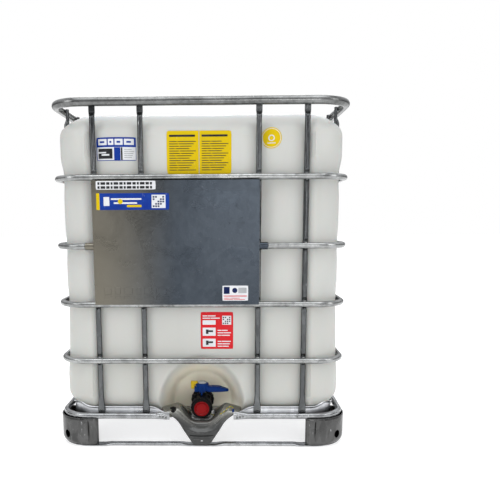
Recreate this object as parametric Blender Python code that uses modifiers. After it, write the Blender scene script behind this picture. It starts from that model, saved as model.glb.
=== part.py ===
"""Composite intermediate bulk container: a blown plastic tank in a cage of welded steel tubes,
standing on a pressed steel pallet, with a butterfly outlet valve at the front.

Metres, +Z up, origin on the floor under the middle of the pallet. The valve side faces -Y.
"""
import math

import bmesh
import bpy
from mathutils import Matrix, Vector

# ---------------------------------------------------------------- driving dimensions
PALLET_WIDTH = 1.000          # across the valve side, along X
PALLET_LENGTH = 1.200         # valve side to back, along Y
TOTAL_HEIGHT = 1.160
GAP = 0.0004                  # clearance between pieces that touch

RING_RADIUS = 0.010
RING_HALF_X = 0.482           # ring centre line to the middle of the container
RING_HALF_Y = 0.582
RING_CORNER = 0.095
RING_HEIGHTS = {"ring_upper": 0.911, "ring_middle": 0.689, "ring_lower": 0.495, "ring_bottom": 0.302}

TOP_RAIL_RADIUS = 0.014
TOP_RAIL_HALF_X = 0.480
TOP_RAIL_HALF_Y = 0.580
TOP_RAIL_Z = TOTAL_HEIGHT - TOP_RAIL_RADIUS

POST_RADIUS = 0.009
POST_HALF_X = 0.466
POST_HALF_Y = 0.566
POST_BOTTOM = 0.104
POST_TOP = TOP_RAIL_Z + 0.006
FRONT_POSTS_X = (-0.347, -0.192, 0.192, 0.347)
REAR_POSTS_X = (-0.347, -0.116, 0.116, 0.347)
SIDE_POSTS_Y = (-0.410, -0.246, -0.082, 0.082, 0.246, 0.410)

RAIL_RADIUS = 0.0105
RAIL_HALF_X = 0.4845
RAIL_HALF_Y = 0.5845
RAIL_Z = 0.109
RAIL_MOUTH = 0.113            # half the gap in the pallet rail, where the outlet trough stands
SKID_HEIGHT = 0.008
SKID_WIDTH = 0.040
FOOT_TOP = 0.0920

PAN_HALF_X = 0.4612
PAN_HALF_Y = 0.5612
PAN_CORNER = 0.105
PAN_FLOOR = 0.0925
PAN_RIM = 0.136
SHEET = 0.0020                # thickness of the pressed steel sheet
TROUGH_MOUTH = 0.158          # half the notch in the pan's front wall

TANK_HALF_X = 0.4535
TANK_HALF_Y = 0.5535
TANK_CORNER = 0.100
TANK_EDGE = 0.075             # radius of the tank's upper and lower edges
TANK_BOTTOM = PAN_FLOOR + SHEET + 0.0006
TANK_TOP = 1.118
TANK_WALL = 0.003

NECK_RADIUS = 0.0815
NECK_BORE = 0.0750
NECK_TOP = 1.1345
BOWL_RADIUS = 0.150           # sunk ring around the filler neck
BOWL_FLOOR = 1.092

VALVE_Z = 0.128               # outlet axis, which runs along Y
RECESS_FRONT = (0.150, 0.185)  # half width and half height of the outlet recess at the wall
RECESS_BACK = (0.105, 0.105)
RECESS_DEEP_Y = -0.425
NOZZLE_RADIUS = 0.0310
NOZZLE_BORE = 0.0235
NOZZLE_END_Y = -0.4520
STEM_Y = -0.492
STEM_RADIUS = 0.0050
HANDLE_REACH = 0.094

BAR_Y = 0.170                 # the two retaining bars over the tank lie at plus and minus this
BAR_RADIUS = 0.008
BAR_SEAT_Z = 1.1500           # flat seat pressed into the top rail

PLATE_LEFT, PLATE_RIGHT = -0.351, 0.194
PLATE_LOW, PLATE_HIGH = 0.496, 0.901
PLATE_SHEET = 0.0015

CABLE_RADIUS = 0.00175
CABLE_POINTS = (
    (0.0242, -0.5285, 0.1040), (0.0275, -0.5300, 0.1015), (0.0330, -0.5350, 0.0992),
    (0.0370, -0.5393, 0.0989), (0.0410, -0.5440, 0.0988), (0.0455, -0.5512, 0.0999),
    (0.0500, -0.5580, 0.1015), (0.0540, -0.5624, 0.1037), (0.0580, -0.5660, 0.1062),
    (0.0660, -0.5700, 0.1115), (0.0740, -0.5705, 0.1170), (0.0820, -0.5700, 0.1245),
    (0.0900, -0.5695, 0.1325), (0.0980, -0.5690, 0.1375), (0.1050, -0.5680, 0.1365),
    (0.1090, -0.5670, 0.1310),
)

# ---------------------------------------------------------------- scene and materials
for leftover in list(bpy.data.objects):
    bpy.data.objects.remove(leftover, do_unlink=True)

container = bpy.data.collections.new("bulk_container")
cutters = bpy.data.collections.new("cutters")
bpy.context.scene.collection.children.link(container)
bpy.context.scene.collection.children.link(cutters)


def make_material(name, colour, roughness, metallic=0.0):
    material = bpy.data.materials.new(name)
    material.use_nodes = True
    shader = material.node_tree.nodes["Principled BSDF"]
    shader.inputs["Base Color"].default_value = (*colour, 1.0)
    shader.inputs["Roughness"].default_value = roughness
    shader.inputs["Metallic"].default_value = metallic
    material.diffuse_color = (*colour, 1.0)
    return material


ZINC = make_material("galvanised_steel", (0.50, 0.51, 0.52), 0.42, 1.0)
PRESSED = make_material("pressed_steel", (0.34, 0.35, 0.35), 0.50, 1.0)
BOLT = make_material("bolt_steel", (0.62, 0.62, 0.60), 0.35, 1.0)
TANK_WHITE = make_material("tank_plastic", (0.84, 0.83, 0.79), 0.45)
BLACK = make_material("black_plastic", (0.02, 0.02, 0.02), 0.40)
RED = make_material("red_plastic", (0.55, 0.02, 0.03), 0.30)
BLUE = make_material("blue_plastic", (0.02, 0.10, 0.45), 0.35)
YELLOW = make_material("yellow_plastic", (0.85, 0.62, 0.03), 0.40)
GREY = make_material("grey_plastic", (0.60, 0.62, 0.63), 0.35)
RUBBER = make_material("seal_rubber", (0.08, 0.08, 0.08), 0.80)
CABLE = make_material("earth_cable", (0.60, 0.62, 0.08), 0.45)


# ---------------------------------------------------------------- ways of making a solid
def add_object(name, data, material=None, location=(0, 0, 0)):
    """Put data in the container, or among the cutters when it has no material."""
    item = bpy.data.objects.new(name, data)
    item.location = location
    if material is None:
        cutters.objects.link(item)
        item.hide_render = True
        item.display_type = "WIRE"
    else:
        data.materials.append(material)
        container.objects.link(item)
    return item


def mesh_from(name, bm, smooth_angle=35):
    bmesh.ops.recalc_face_normals(bm, faces=bm.faces[:])
    mesh = bpy.data.meshes.new(name)
    bm.to_mesh(mesh)
    bm.free()
    mesh.shade_smooth()
    mesh.set_sharp_from_angle(angle=math.radians(smooth_angle))
    return mesh


def skin(name, rings, cap_first=True, cap_last=True):
    """Loft through rings of points that all have the same count."""
    bm = bmesh.new()
    levels = [[bm.verts.new(point) for point in ring] for ring in rings]
    count = len(levels[0])
    for lower, upper in zip(levels, levels[1:]):
        for i in range(count):
            j = (i + 1) % count
            bm.faces.new((lower[i], lower[j], upper[j], upper[i]))
    if cap_first:
        bm.faces.new(levels[0][::-1])
    if cap_last:
        bm.faces.new(levels[-1])
    return mesh_from(name, bm)


def block(name, size, material=None, location=(0, 0, 0), bevel=0.0):
    bm = bmesh.new()
    bmesh.ops.create_cube(bm, size=1.0)
    bmesh.ops.scale(bm, vec=size, verts=bm.verts[:])
    item = add_object(name, mesh_from(name, bm), material, location)
    if bevel:
        rounding = item.modifiers.new("rounded_edges", "BEVEL")
        rounding.width = bevel
        rounding.segments = 1
        rounding.limit_method = "ANGLE"
    return item


def drum(name, radius, length, material=None, location=(0, 0, 0), axis="Z", sides=24, far_radius=None):
    """Cylinder or cone centred on location; far_radius is the end towards +axis."""
    bm = bmesh.new()
    bmesh.ops.create_cone(bm, cap_ends=True, segments=sides, radius1=radius,
                          radius2=radius if far_radius is None else far_radius, depth=length)
    turn = {"Z": Matrix(), "Y": Matrix.Rotation(math.radians(-90), 4, "X"),
            "X": Matrix.Rotation(math.radians(90), 4, "Y")}[axis]
    bmesh.ops.transform(bm, matrix=turn, verts=bm.verts[:])
    return add_object(name, mesh_from(name, bm), material, location)


def turned(name, profile, material=None, location=(0, 0, 0), along_y=False, steps=32, closed=True):
    """Turn a profile of (radius, height) points, given down the outer side, about its own axis.

    A closed profile makes a ring; an open one starts and ends on the axis. Along Y the height
    of the profile points towards the front.
    """
    mesh = bpy.data.meshes.new(name)
    edges = [(i, i + 1) for i in range(len(profile) - 1)]
    if closed:
        edges.append((len(profile) - 1, 0))
    mesh.from_pydata([(radius, 0, height) for radius, height in profile], edges, [])
    item = add_object(name, mesh, material, location)
    if along_y:
        item.rotation_euler = (math.radians(90), 0, 0)
    screw = item.modifiers.new("turn", "SCREW")
    screw.steps = steps
    screw.render_steps = steps
    screw.use_merge_vertices = True
    screw.merge_threshold = 0.00005
    return item


def tube(name, points, radius, material, closed=False, resolution=2):
    curve = bpy.data.curves.new(name, "CURVE")
    curve.dimensions = "3D"
    curve.bevel_depth = radius
    curve.bevel_resolution = resolution
    curve.use_fill_caps = not closed
    spline = curve.splines.new("POLY")
    spline.points.add(len(points) - 1)
    for target, point in zip(spline.points, points):
        target.co = (*point, 1.0)
    spline.use_cyclic_u = closed
    return add_object(name, curve, material)


def as_mesh(item):
    """Turn a curve object into a welded mesh object, so that it can be cut."""
    bpy.context.view_layer.update()
    depsgraph = bpy.context.evaluated_depsgraph_get()
    mesh = bpy.data.meshes.new_from_object(item.evaluated_get(depsgraph))
    bm = bmesh.new()
    bm.from_mesh(mesh)
    bmesh.ops.remove_doubles(bm, verts=bm.verts[:], dist=0.00001)
    bmesh.ops.recalc_face_normals(bm, faces=bm.faces[:])
    bm.to_mesh(mesh)
    bm.free()
    mesh.shade_smooth()
    mesh.set_sharp_from_angle(angle=math.radians(35))
    name = item.name
    home = item.users_collection[0]
    solid = bpy.data.objects.new(name + "_solid", mesh)
    solid.matrix_world = item.matrix_world
    home.objects.link(solid)
    solid.hide_render = item.hide_render
    solid.display_type = item.display_type
    bpy.data.objects.remove(item, do_unlink=True)
    solid.name = name
    return solid


def combine(item, other, operation="DIFFERENCE"):
    step = item.modifiers.new(other.name, "BOOLEAN")
    step.operation = operation
    step.solver = "EXACT"
    step.object = other
    return item


def rounded_outline(half_x, half_y, corner, steps, z=0.0):
    """Points of a rectangle with round corners, counter-clockwise from the front right."""
    points = []
    for quadrant in range(4):
        sign_x = (1, 1, -1, -1)[quadrant]
        sign_y = (-1, 1, 1, -1)[quadrant]
        centre = (sign_x * (half_x - corner), sign_y * (half_y - corner))
        for step in range(steps + 1):
            angle = math.radians(-90 + 90 * quadrant + 90 * step / steps)
            points.append((centre[0] + corner * math.cos(angle), centre[1] + corner * math.sin(angle), z))
    return points


def arc(centre, radius, start, end, steps):
    """Points of an arc in a plane, in degrees, ends included."""
    return [(centre[0] + radius * math.cos(math.radians(start + (end - start) * i / steps)),
             centre[1] + radius * math.sin(math.radians(start + (end - start) * i / steps)))
            for i in range(steps + 1)]


# ---------------------------------------------------------------- pallet
def make_pan():
    """Pressed tray that carries the tank, with its front wall notched for the outlet trough."""
    steps = 5
    rings = [
        rounded_outline(PAN_HALF_X, PAN_HALF_Y, PAN_CORNER, steps, PAN_RIM),
        rounded_outline(PAN_HALF_X, PAN_HALF_Y, PAN_CORNER, steps, PAN_FLOOR + 0.010),
        rounded_outline(PAN_HALF_X - 0.006, PAN_HALF_Y - 0.006, PAN_CORNER - 0.006, steps, PAN_FLOOR),
    ]
    mesh = skin("floor_pan", rings, cap_first=False)
    pan = add_object("floor_pan", mesh, PRESSED)
    wall = pan.modifiers.new("sheet", "SOLIDIFY")
    wall.thickness = SHEET
    wall.offset = -1
    wall.use_even_offset = True
    notch = block("pan_notch_cutter", (2 * TROUGH_MOUTH, 0.190, 0.100), location=(0, -0.511, 0.120))
    combine(pan, notch)


def make_pallet_rail():
    """Tube round the pan, open at the front where the outlet trough stands."""
    loop = rounded_outline(RAIL_HALF_X, RAIL_HALF_Y, 0.095, 5, RAIL_Z)
    ahead = (RAIL_MOUTH, -RAIL_HALF_Y, RAIL_Z)
    behind = (-RAIL_MOUTH, -RAIL_HALF_Y, RAIL_Z)
    tube("pallet_rail", [ahead] + loop + [behind], RAIL_RADIUS, ZINC)


def make_skid():
    """Flattened ring on the floor that ties the feet together."""
    outer = rounded_outline(0.4985, 0.5985, 0.085, 5)
    inner = rounded_outline(0.4985 - SKID_WIDTH, 0.5985 - SKID_WIDTH, 0.045, 5)
    edge = 0.003
    rings = []
    for points, inset, z in ((outer, edge, 0.0), (outer, 0.0, edge), (outer, 0.0, SKID_HEIGHT - edge),
                             (outer, edge, SKID_HEIGHT), (inner, -edge, SKID_HEIGHT),
                             (inner, 0.0, SKID_HEIGHT - edge), (inner, 0.0, edge), (inner, -edge, 0.0)):
        rings.append([(x - math.copysign(inset, x), y - math.copysign(inset, y), z) for x, y, _ in points])
    rings.append(rings[0])
    mesh = skin("base_ring", rings, cap_first=False, cap_last=False)
    bm = bmesh.new()
    bm.from_mesh(mesh)
    bmesh.ops.remove_doubles(bm, verts=bm.verts[:], dist=0.00001)
    add_object("base_ring", mesh_from("base_ring", bm), ZINC)


def foot_outline(inner_x, inner_y, outer_x, outer_y, corner, z, steps=5):
    """Outline of a foot between two inner and two outer limits, round at each corner."""
    small = 0.018
    centres = ((outer_x, inner_y, small, -90), (outer_x, outer_y, corner, 0),
               (inner_x, outer_y, small, 90), (inner_x, inner_y, small, 180))
    points = []
    for x, y, radius, start in centres:
        cx = x - radius if x == outer_x else x + radius
        cy = y - radius if y == outer_y else y + radius
        count = steps if radius == corner else 2
        points += [(px, py, z) for px, py in arc((cx, cy), radius, start, start + 90, count)]
    return points


def make_foot(name, inner_x, inner_y, outer_x, outer_y, corner, sign_x=1, sign_y=1, hole=False):
    """Pressed cup, open upwards, whose lower outer edge is well rounded."""
    base = SKID_HEIGHT + GAP
    rings = []
    for z, inset in ((FOOT_TOP, 0.0), (base + 0.028, 0.0), (base + 0.012, 0.004), (base + 0.003, 0.013),
                     (base, 0.024)):
        reach_x = outer_x - inset
        reach_y = outer_y - (inset if corner > 0.03 else 0.0)
        rings.append([(sign_x * x, sign_y * y, height) for x, y, height in
                      foot_outline(inner_x, inner_y, reach_x, reach_y, corner, z)])
    foot = add_object(name, skin(name, rings, cap_first=False), PRESSED)
    sheet = foot.modifiers.new("sheet", "SOLIDIFY")
    sheet.thickness = SHEET
    sheet.offset = -1
    if hole:
        middle = (sign_x * (outer_x - 0.025), sign_y * (outer_y - 0.025), 0.038)
        punch = drum(name + "_hole_cutter", 0.014, 0.060, location=middle, axis="X", sides=12)
        punch.rotation_euler = (0, 0, math.atan2(sign_y, sign_x))
        combine(foot, punch)
    return foot


def make_feet():
    for name, sign_x, sign_y in (("corner_foot_front_left", -1, -1), ("corner_foot_front_right", 1, -1),
                                 ("corner_foot_rear_left", -1, 1), ("corner_foot_rear_right", 1, 1)):
        make_foot(name, 0.352, 0.440, PALLET_WIDTH / 2, PALLET_LENGTH / 2, 0.085, sign_x, sign_y, True)
    for name, sign_x in (("side_foot_left", -1), ("side_foot_right", 1)):
        make_foot(name, 0.400, -0.075, PALLET_WIDTH / 2, 0.075, 0.020, sign_x)
    rear = make_foot("rear_foot", 0.500, -0.080, PALLET_LENGTH / 2, 0.080, 0.020)
    rear.rotation_euler = (0, 0, math.radians(90))


def make_trough():
    """Outlet trough: a V-shaped front foot whose top runs back under the valve, between two wings."""
    rows = ((-0.5935, SKID_HEIGHT + GAP, 0.031, 0.0), (-0.5915, 0.030, 0.046, 0.0), (-0.5875, 0.055, 0.064, 0.002),
            (-0.5790, 0.074, 0.084, 0.016), (-0.5610, 0.080, 0.128, 0.040), (-0.5350, 0.081, 0.138, 0.058),
            (-0.4900, 0.081, 0.112, 0.046), (-0.4490, 0.082, 0.092, 0.028))
    columns = 14
    bm = bmesh.new()
    grid = []
    for y, z, half_width, wing in rows:
        line = []
        for i in range(columns + 1):
            x = half_width * (-1 + 2 * i / columns)
            climb = min(1.0, max(0.0, (abs(x) - 0.035) / 0.045))
            droop = 6.0 * max(0.0, abs(x) - 0.085)
            line.append(bm.verts.new((x, y, z + wing * (climb * climb * (3 - 2 * climb) - droop))))
        grid.append(line)
    for near, far in zip(grid, grid[1:]):
        for i in range(columns):
            bm.faces.new((near[i], near[i + 1], far[i + 1], far[i]))
    trough = add_object("valve_trough", mesh_from("valve_trough", bm), PRESSED)
    sheet = trough.modifiers.new("sheet", "SOLIDIFY")
    sheet.thickness = SHEET
    sheet.offset = 0
    block("wing_clip", (0.020, 0.008, 0.020), BLACK, (-0.0990, -0.5668, 0.1272), bevel=0.002)


# ---------------------------------------------------------------- cage
def post_section(z, half_width, outward, inward):
    """Eight-sided tube section, pressed flat where it would pass the outward or inward limit."""
    section = []
    for i in range(8):
        angle = math.radians(22.5 + 45 * i)
        reach = POST_RADIUS * 1.03 * math.sin(angle)
        section.append((half_width * 1.03 * math.cos(angle), max(-inward, min(outward, reach)), z))
    return section


def post_mesh():
    """Post that stands at the origin with its outer side towards +Y, dented where the rings cross."""
    full = POST_RADIUS
    dent = 0.0050
    spread = 0.017
    levels = [(POST_BOTTOM, 0.012, 0.0040, 0.0040), (POST_BOTTOM + 0.034, 0.012, 0.0045, 0.0040),
              (POST_BOTTOM + 0.060, full, full, full)]
    for height in sorted(RING_HEIGHTS.values()):
        levels += [(height - spread, full, full, full), (height, full * 1.1, dent, full),
                   (height + spread, full, full, full)]
    levels += [(TOP_RAIL_Z - 0.034, full, full, full), (TOP_RAIL_Z - 0.013, full * 1.15, -GAP, full),
               (POST_TOP, full * 1.15, -GAP, full)]
    return skin("post", [post_section(*level) for level in levels])


def make_posts():
    shape = post_mesh()
    shape.materials.append(ZINC)

    def stand(name, x, y, turn):
        post = bpy.data.objects.new(name, shape)
        post.location = (x, y, 0)
        post.rotation_euler = (0, 0, math.radians(turn))
        container.objects.link(post)

    for i, x in enumerate(FRONT_POSTS_X, 1):
        stand("front_post_%d" % i, x, -POST_HALF_Y, 180)
    for i, x in enumerate(REAR_POSTS_X, 1):
        stand("rear_post_%d" % i, x, POST_HALF_Y, 0)
    for i, y in enumerate(SIDE_POSTS_Y, 1):
        stand("left_post_%d" % i, -POST_HALF_X, y, 90)
        stand("right_post_%d" % i, POST_HALF_X, y, -90)


def make_rings():
    for name, height in RING_HEIGHTS.items():
        path = rounded_outline(RING_HALF_X, RING_HALF_Y, RING_CORNER, 5, height)
        tube(name, path, RING_RADIUS, ZINC, closed=True)


def make_top_rail():
    """Upper rail, with four flat seats and bolt holes for the retaining bars."""
    path = rounded_outline(TOP_RAIL_HALF_X, TOP_RAIL_HALF_Y, 0.100, 6, TOP_RAIL_Z)
    rail = as_mesh(tube("top_rail", path, TOP_RAIL_RADIUS, ZINC, closed=True, resolution=3))
    for side in (-1, 1):
        for end in (-1, 1):
            tag = "%s_%s" % ("left" if side < 0 else "right", "front" if end < 0 else "rear")
            place = (side * TOP_RAIL_HALF_X, end * BAR_Y)
            combine(rail, block("seat_cutter_" + tag, (0.050, 0.044, 0.020),
                                location=(*place, BAR_SEAT_Z + 0.010)))
            combine(rail, drum("bolt_hole_cutter_" + tag, 0.0045, 0.060, location=(*place, TOP_RAIL_Z), sides=12))


def bar_section(x, half_width, z_low, z_high):
    section = []
    for i in range(10):
        angle = math.radians(18 + 36 * i)
        section.append((x, half_width * math.cos(angle),
                        (z_low + z_high) / 2 + (z_high - z_low) / 2 * math.sin(angle)))
    return section


def make_top_bars():
    """Retaining bars over the tank: tubes whose ends are pressed flat and bolted to the top rail."""
    flat_low = BAR_SEAT_Z + GAP
    flat_high = flat_low + 0.003
    round_high = flat_high
    round_low = round_high - 2 * BAR_RADIUS
    stations = ((0.4930, 0.013, flat_low, flat_high), (0.4600, 0.013, flat_low, flat_high),
                (0.4300, BAR_RADIUS, round_low, round_high))
    for name, end in (("top_bar_front", -1), ("top_bar_rear", 1)):
        rings = [bar_section(-x, *shape) for x, *shape in stations]
        rings += [bar_section(x, *shape) for x, *shape in reversed(stations)]
        bar = add_object(name, skin(name, rings), ZINC, (0, end * BAR_Y, 0))
        for side, word in ((-1, "left"), (1, "right")):
            tag = "%s_%s" % (word, "front" if end < 0 else "rear")
            place = (side * TOP_RAIL_HALF_X, end * BAR_Y)
            combine(bar, drum("bar_hole_cutter_" + tag, 0.0045, 0.030, location=(*place, flat_low), sides=12))
            head = flat_high + GAP
            turned("bar_bolt_" + tag, ((0, head + 0.0052), (0.0060, head + 0.0045), (0.0080, head + 0.0015),
                                       (0.0080, head), (0.0040, head), (0.0040, head - 0.026),
                                       (0, head - 0.027)), BOLT, (*place, 0), steps=12, closed=False)


def make_label_plate():
    """Sheet steel plate hung in front of the cage, with two ears that wrap the middle ring."""
    ring_z = RING_HEIGHTS["ring_middle"]
    ring_front = -(RING_HALF_Y + RING_RADIUS)
    plate_back = ring_front - 0.0005
    plate = block("label_plate", (PLATE_RIGHT - PLATE_LEFT, PLATE_SHEET, PLATE_HIGH - PLATE_LOW), ZINC,
                  ((PLATE_LEFT + PLATE_RIGHT) / 2, plate_back - PLATE_SHEET / 2, (PLATE_LOW + PLATE_HIGH) / 2))
    ear_length = 0.032
    ear_outer = 0.0125
    for word, edge, side in (("left", PLATE_LEFT, -1), ("right", PLATE_RIGHT, 1)):
        middle = (edge + side * (ear_length / 2 - 0.002), -RING_HALF_Y, ring_z)
        ear = drum("ear_former_" + word, ear_outer, ear_length, location=middle, axis="X", sides=16)
        combine(ear, drum("ear_bore_cutter_" + word, RING_RADIUS + 0.0006, 0.050, location=middle, axis="X",
                          sides=16))
        combine(ear, block("ear_back_cutter_" + word, (0.060, 0.030, 0.040),
                           location=(middle[0], middle[1] + 0.0150, ring_z)))
        combine(plate, ear, "UNION")


# ---------------------------------------------------------------- tank and lid
def tank_former(name, shrink, material=None):
    """Box with round corners and rolled upper and lower edges, smaller by shrink on every side."""
    half_x = TANK_HALF_X - shrink
    half_y = TANK_HALF_Y - shrink
    corner = TANK_CORNER - shrink
    edge = TANK_EDGE - shrink
    low = TANK_BOTTOM + shrink
    high = TANK_TOP - shrink
    steps = 3
    levels = []
    for i in range(steps + 1):
        angle = math.radians(90 * i / steps)
        levels.append((low + edge - edge * math.cos(angle), edge - edge * math.sin(angle)))
    levels += [(low + high - z, inset) for z, inset in reversed(levels)]
    rings = [rounded_outline(half_x - inset, half_y - inset, corner - inset, 5, z) for z, inset in levels]
    return add_object(name, skin(name, rings), material)


def recess_former(name, grow):
    """Tapered oval plug that shapes the arched outlet recess in the tank's front wall."""
    front_y = -TANK_HALF_Y - 0.030
    back_y = RECESS_DEEP_Y + grow
    taper = [(RECESS_FRONT[i] - RECESS_BACK[i]) / (-RECESS_DEEP_Y - TANK_HALF_Y) for i in (0, 1)]
    rings = []
    for y in (front_y, back_y):
        half_x, half_z = [RECESS_BACK[i] + grow + taper[i] * (RECESS_DEEP_Y - y) * -1 for i in (0, 1)]
        rings.append([(half_x * math.cos(math.radians(15 * k)), y,
                       VALVE_Z + half_z * math.sin(math.radians(15 * k))) for k in range(24)])
    return add_object(name, skin(name, rings))


def make_tank():
    """Blown tank: outer shell less the cavity, with a filler neck on top and an outlet nozzle."""
    tank = tank_former("tank", 0.0, TANK_WHITE)
    cavity = tank_former("cavity_cutter", TANK_WALL)
    for target, grow in ((tank, 0.0), (cavity, TANK_WALL)):
        tag = "outer" if target is tank else "inner"
        combine(target, recess_former("recess_former_" + tag, grow))
        depth = TANK_TOP + 0.020 - (BOWL_FLOOR - grow)
        combine(target, drum("bowl_cutter_" + tag, BOWL_RADIUS - 0.012 + grow, depth, sides=32,
                             location=(0, 0, BOWL_FLOOR - grow + depth / 2),
                             far_radius=BOWL_RADIUS + 0.007 + grow))
    neck_length = NECK_TOP - BOWL_FLOOR + 0.002
    combine(tank, drum("neck_former", NECK_RADIUS, neck_length, sides=32,
                       location=(0, 0, NECK_TOP - neck_length / 2)), "UNION")
    nozzle_length = 0.030
    combine(tank, drum("nozzle_former", NOZZLE_RADIUS, nozzle_length, axis="Y", sides=24,
                       location=(0, NOZZLE_END_Y + nozzle_length / 2, VALVE_Z)), "UNION")
    combine(tank, cavity)
    combine(tank, drum("neck_bore_cutter", NECK_BORE, 0.080, location=(0, 0, NECK_TOP - 0.010), sides=32))
    combine(tank, drum("nozzle_bore_cutter", NOZZLE_BORE, 0.080, axis="Y", sides=24,
                       location=(0, NOZZLE_END_Y + 0.020, VALVE_Z)))


def make_lid():
    """Screw lid with its seal and a vent plug in the middle."""
    seal_low = NECK_TOP + GAP
    seal_high = seal_low + 0.0030
    disc_low = seal_high + GAP
    disc_high = disc_low + 0.0090
    skirt_low = BOWL_FLOOR + 0.006
    vent_bore = 0.0256
    lift = bpy.data.objects.new("lid_axis", None)
    container.objects.link(lift)
    lid = turned("lid", ((vent_bore, disc_high), (0.086, disc_high), (0.0905, disc_high - 0.003),
                         (0.0915, skirt_low), (NECK_RADIUS + 0.0008, skirt_low), (NECK_RADIUS + 0.0008, disc_low),
                         (vent_bore, disc_low)), BLACK, steps=32)
    seal = turned("lid_seal", ((NECK_RADIUS - 0.0005, seal_high), (NECK_RADIUS - 0.0005, seal_low),
                               (NECK_BORE + 0.0005, seal_low), (NECK_BORE + 0.0005, seal_high)), RUBBER, steps=32)
    vent = turned("vent_plug", ((0, disc_high + 0.0045), (0.0270, disc_high + 0.0045), (0.0300, disc_high + 0.002),
                                (0.0300, disc_high + GAP), (0.0250, disc_high + GAP), (0.0250, disc_low - 0.010),
                                (0, disc_low - 0.010)), RED, steps=24, closed=False)
    for piece in (lid, seal, vent):
        piece.parent = lift


# ---------------------------------------------------------------- outlet valve
def make_union_nut():
    inner = NOZZLE_RADIUS + 0.0006
    turned("union_nut", ((inner, 0.0305), (0.0385, 0.0305), (0.0415, 0.0270), (0.0415, 0.0030),
                               (0.0385, 0.0), (inner, 0.0)), BLACK, (0, RECESS_DEEP_Y - 0.0015, VALVE_Z),
                 along_y=True, steps=24)


def make_valve_body():
    """Straight housing with a rear collar inside the union nut, a stem boss and an outlet spigot."""
    start = NOZZLE_END_Y - GAP
    end = -0.5600
    length = start - end
    bore = NOZZLE_BORE
    body = turned("valve_body", ((bore, length), (0.0290, length), (0.0300, length - 0.002),
                                 (0.0300, length - 0.0235), (0.0320, length - 0.0240), (0.0320, 0.0090),
                                 (0.0300, 0.0075), (0.0300, 0.0), (bore, 0.0)), BLACK, (0, start, VALVE_Z),
                  along_y=True, steps=24)
    boss_low = VALVE_Z + 0.0265
    boss_high = 0.1650
    combine(body, drum("boss_former", 0.0150, boss_high - boss_low, sides=20,
                       location=(0, STEM_Y, (boss_low + boss_high) / 2)), "UNION")
    combine(body, drum("stem_hole_cutter", STEM_RADIUS + 0.0004, 0.030, sides=16,
                       location=(0, STEM_Y, boss_high)))


def make_valve_closure():
    """Disc, stem, handle, its cap and the safety catch, all on the stem's vertical axis."""
    boss_high = 0.1650
    pivot = bpy.data.objects.new("stem_axis", None)
    pivot.location = (0, STEM_Y, 0)
    container.objects.link(pivot)
    disc = drum("valve_disc", 0.0228, 0.0040, BLACK, axis="Y", sides=24, location=(0, 0, VALVE_Z))
    hub = drum("disc_hub_former", 0.0078, 0.0300, sides=16, location=(0, STEM_Y, VALVE_Z))
    hub_bore = drum("disc_bore_cutter", STEM_RADIUS + 0.0004, 0.060, sides=16, location=(0, STEM_Y, VALVE_Z))
    combine(disc, hub, "UNION")
    combine(disc, hub_bore)
    stem = turned("valve_stem", ((0, 0.1780), (STEM_RADIUS, 0.1780), (STEM_RADIUS, VALVE_Z - 0.0225),
                                 (0, VALVE_Z - 0.0225)), BOLT, steps=16, closed=False)
    hub_low = boss_high + GAP
    hub_high = 0.1995
    handle = drum("handle", 0.0230, hub_high - hub_low, BLUE, (0, 0, (hub_low + hub_high) / 2), sides=28)
    blade = skin("handle_blade_former", [
        [(x, y, z) for y, z in ((-half, low), (half, low), (half, high), (-half, high))]
        for x, half, low, high in ((0.000, 0.0150, hub_low, 0.1900), (0.055, 0.0150, hub_low + 0.003, 0.1885),
                                   (0.078, 0.0120, hub_low + 0.0035, 0.1830),
                                   (HANDLE_REACH, 0.0070, 0.1700, 0.1770))])
    former = add_object("handle_blade_former", blade, location=(0, STEM_Y, 0))
    combine(handle, former, "UNION")
    combine(handle, drum("handle_bore_cutter", STEM_RADIUS + 0.0004, 0.030, sides=16,
                         location=(0, STEM_Y, 0.1640)))
    combine(handle, block("catch_slot_cutter", (0.0180, 0.0180, 0.0260), location=(-0.0245, STEM_Y, 0.1910)))
    cap = turned("handle_cap", ((0, 0.2060), (0.0130, 0.2055), (0.0148, 0.2035), (0.0148, hub_high + GAP),
                                (0, hub_high + GAP)), GREY, steps=24, closed=False)
    catch = block("safety_catch", (0.0235, 0.0160, 0.0265), YELLOW, (-0.02775, 0, 0.1920), bevel=0.002)
    combine(catch, block("catch_window_cutter", (0.0080, 0.0300, 0.0060), location=(-0.0345, STEM_Y, 0.1930)))
    for piece in (disc, stem, handle, cap, catch):
        piece.parent = pivot


def make_outlet_cap():
    """Screw cap on the outlet spigot: a ribbed ring that holds a red insert over a flat seal."""
    spigot_end = -0.5600
    axis = bpy.data.objects.new("outlet_axis", None)
    axis.location = (0, spigot_end, VALVE_Z)
    container.objects.link(axis)
    seal = turned("outlet_seal", ((0.0288, 0.0018), (0.0288, 0.0004), (0.0240, 0.0004), (0.0240, 0.0018)),
                  RUBBER, along_y=True, steps=24)
    insert = turned("cap_insert", ((0, 0.0060), (0.0225, 0.0060), (0.0252, 0.0072), (0.0262, 0.0060),
                                   (0.0262, 0.0045), (0.0290, 0.0045), (0.0290, 0.0022), (0, 0.0022)),
                    RED, along_y=True, steps=28, closed=False)
    cap = turned("outlet_cap", ((0.0268, 0.0072), (0.0360, 0.0072), (0.0382, 0.0050), (0.0382, -0.0210),
                                (0.0307, -0.0210), (0.0307, 0.0049), (0.0268, 0.0049)),
                 BLACK, along_y=True, steps=28)
    for piece in (seal, insert, cap):
        piece.parent = axis


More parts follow.
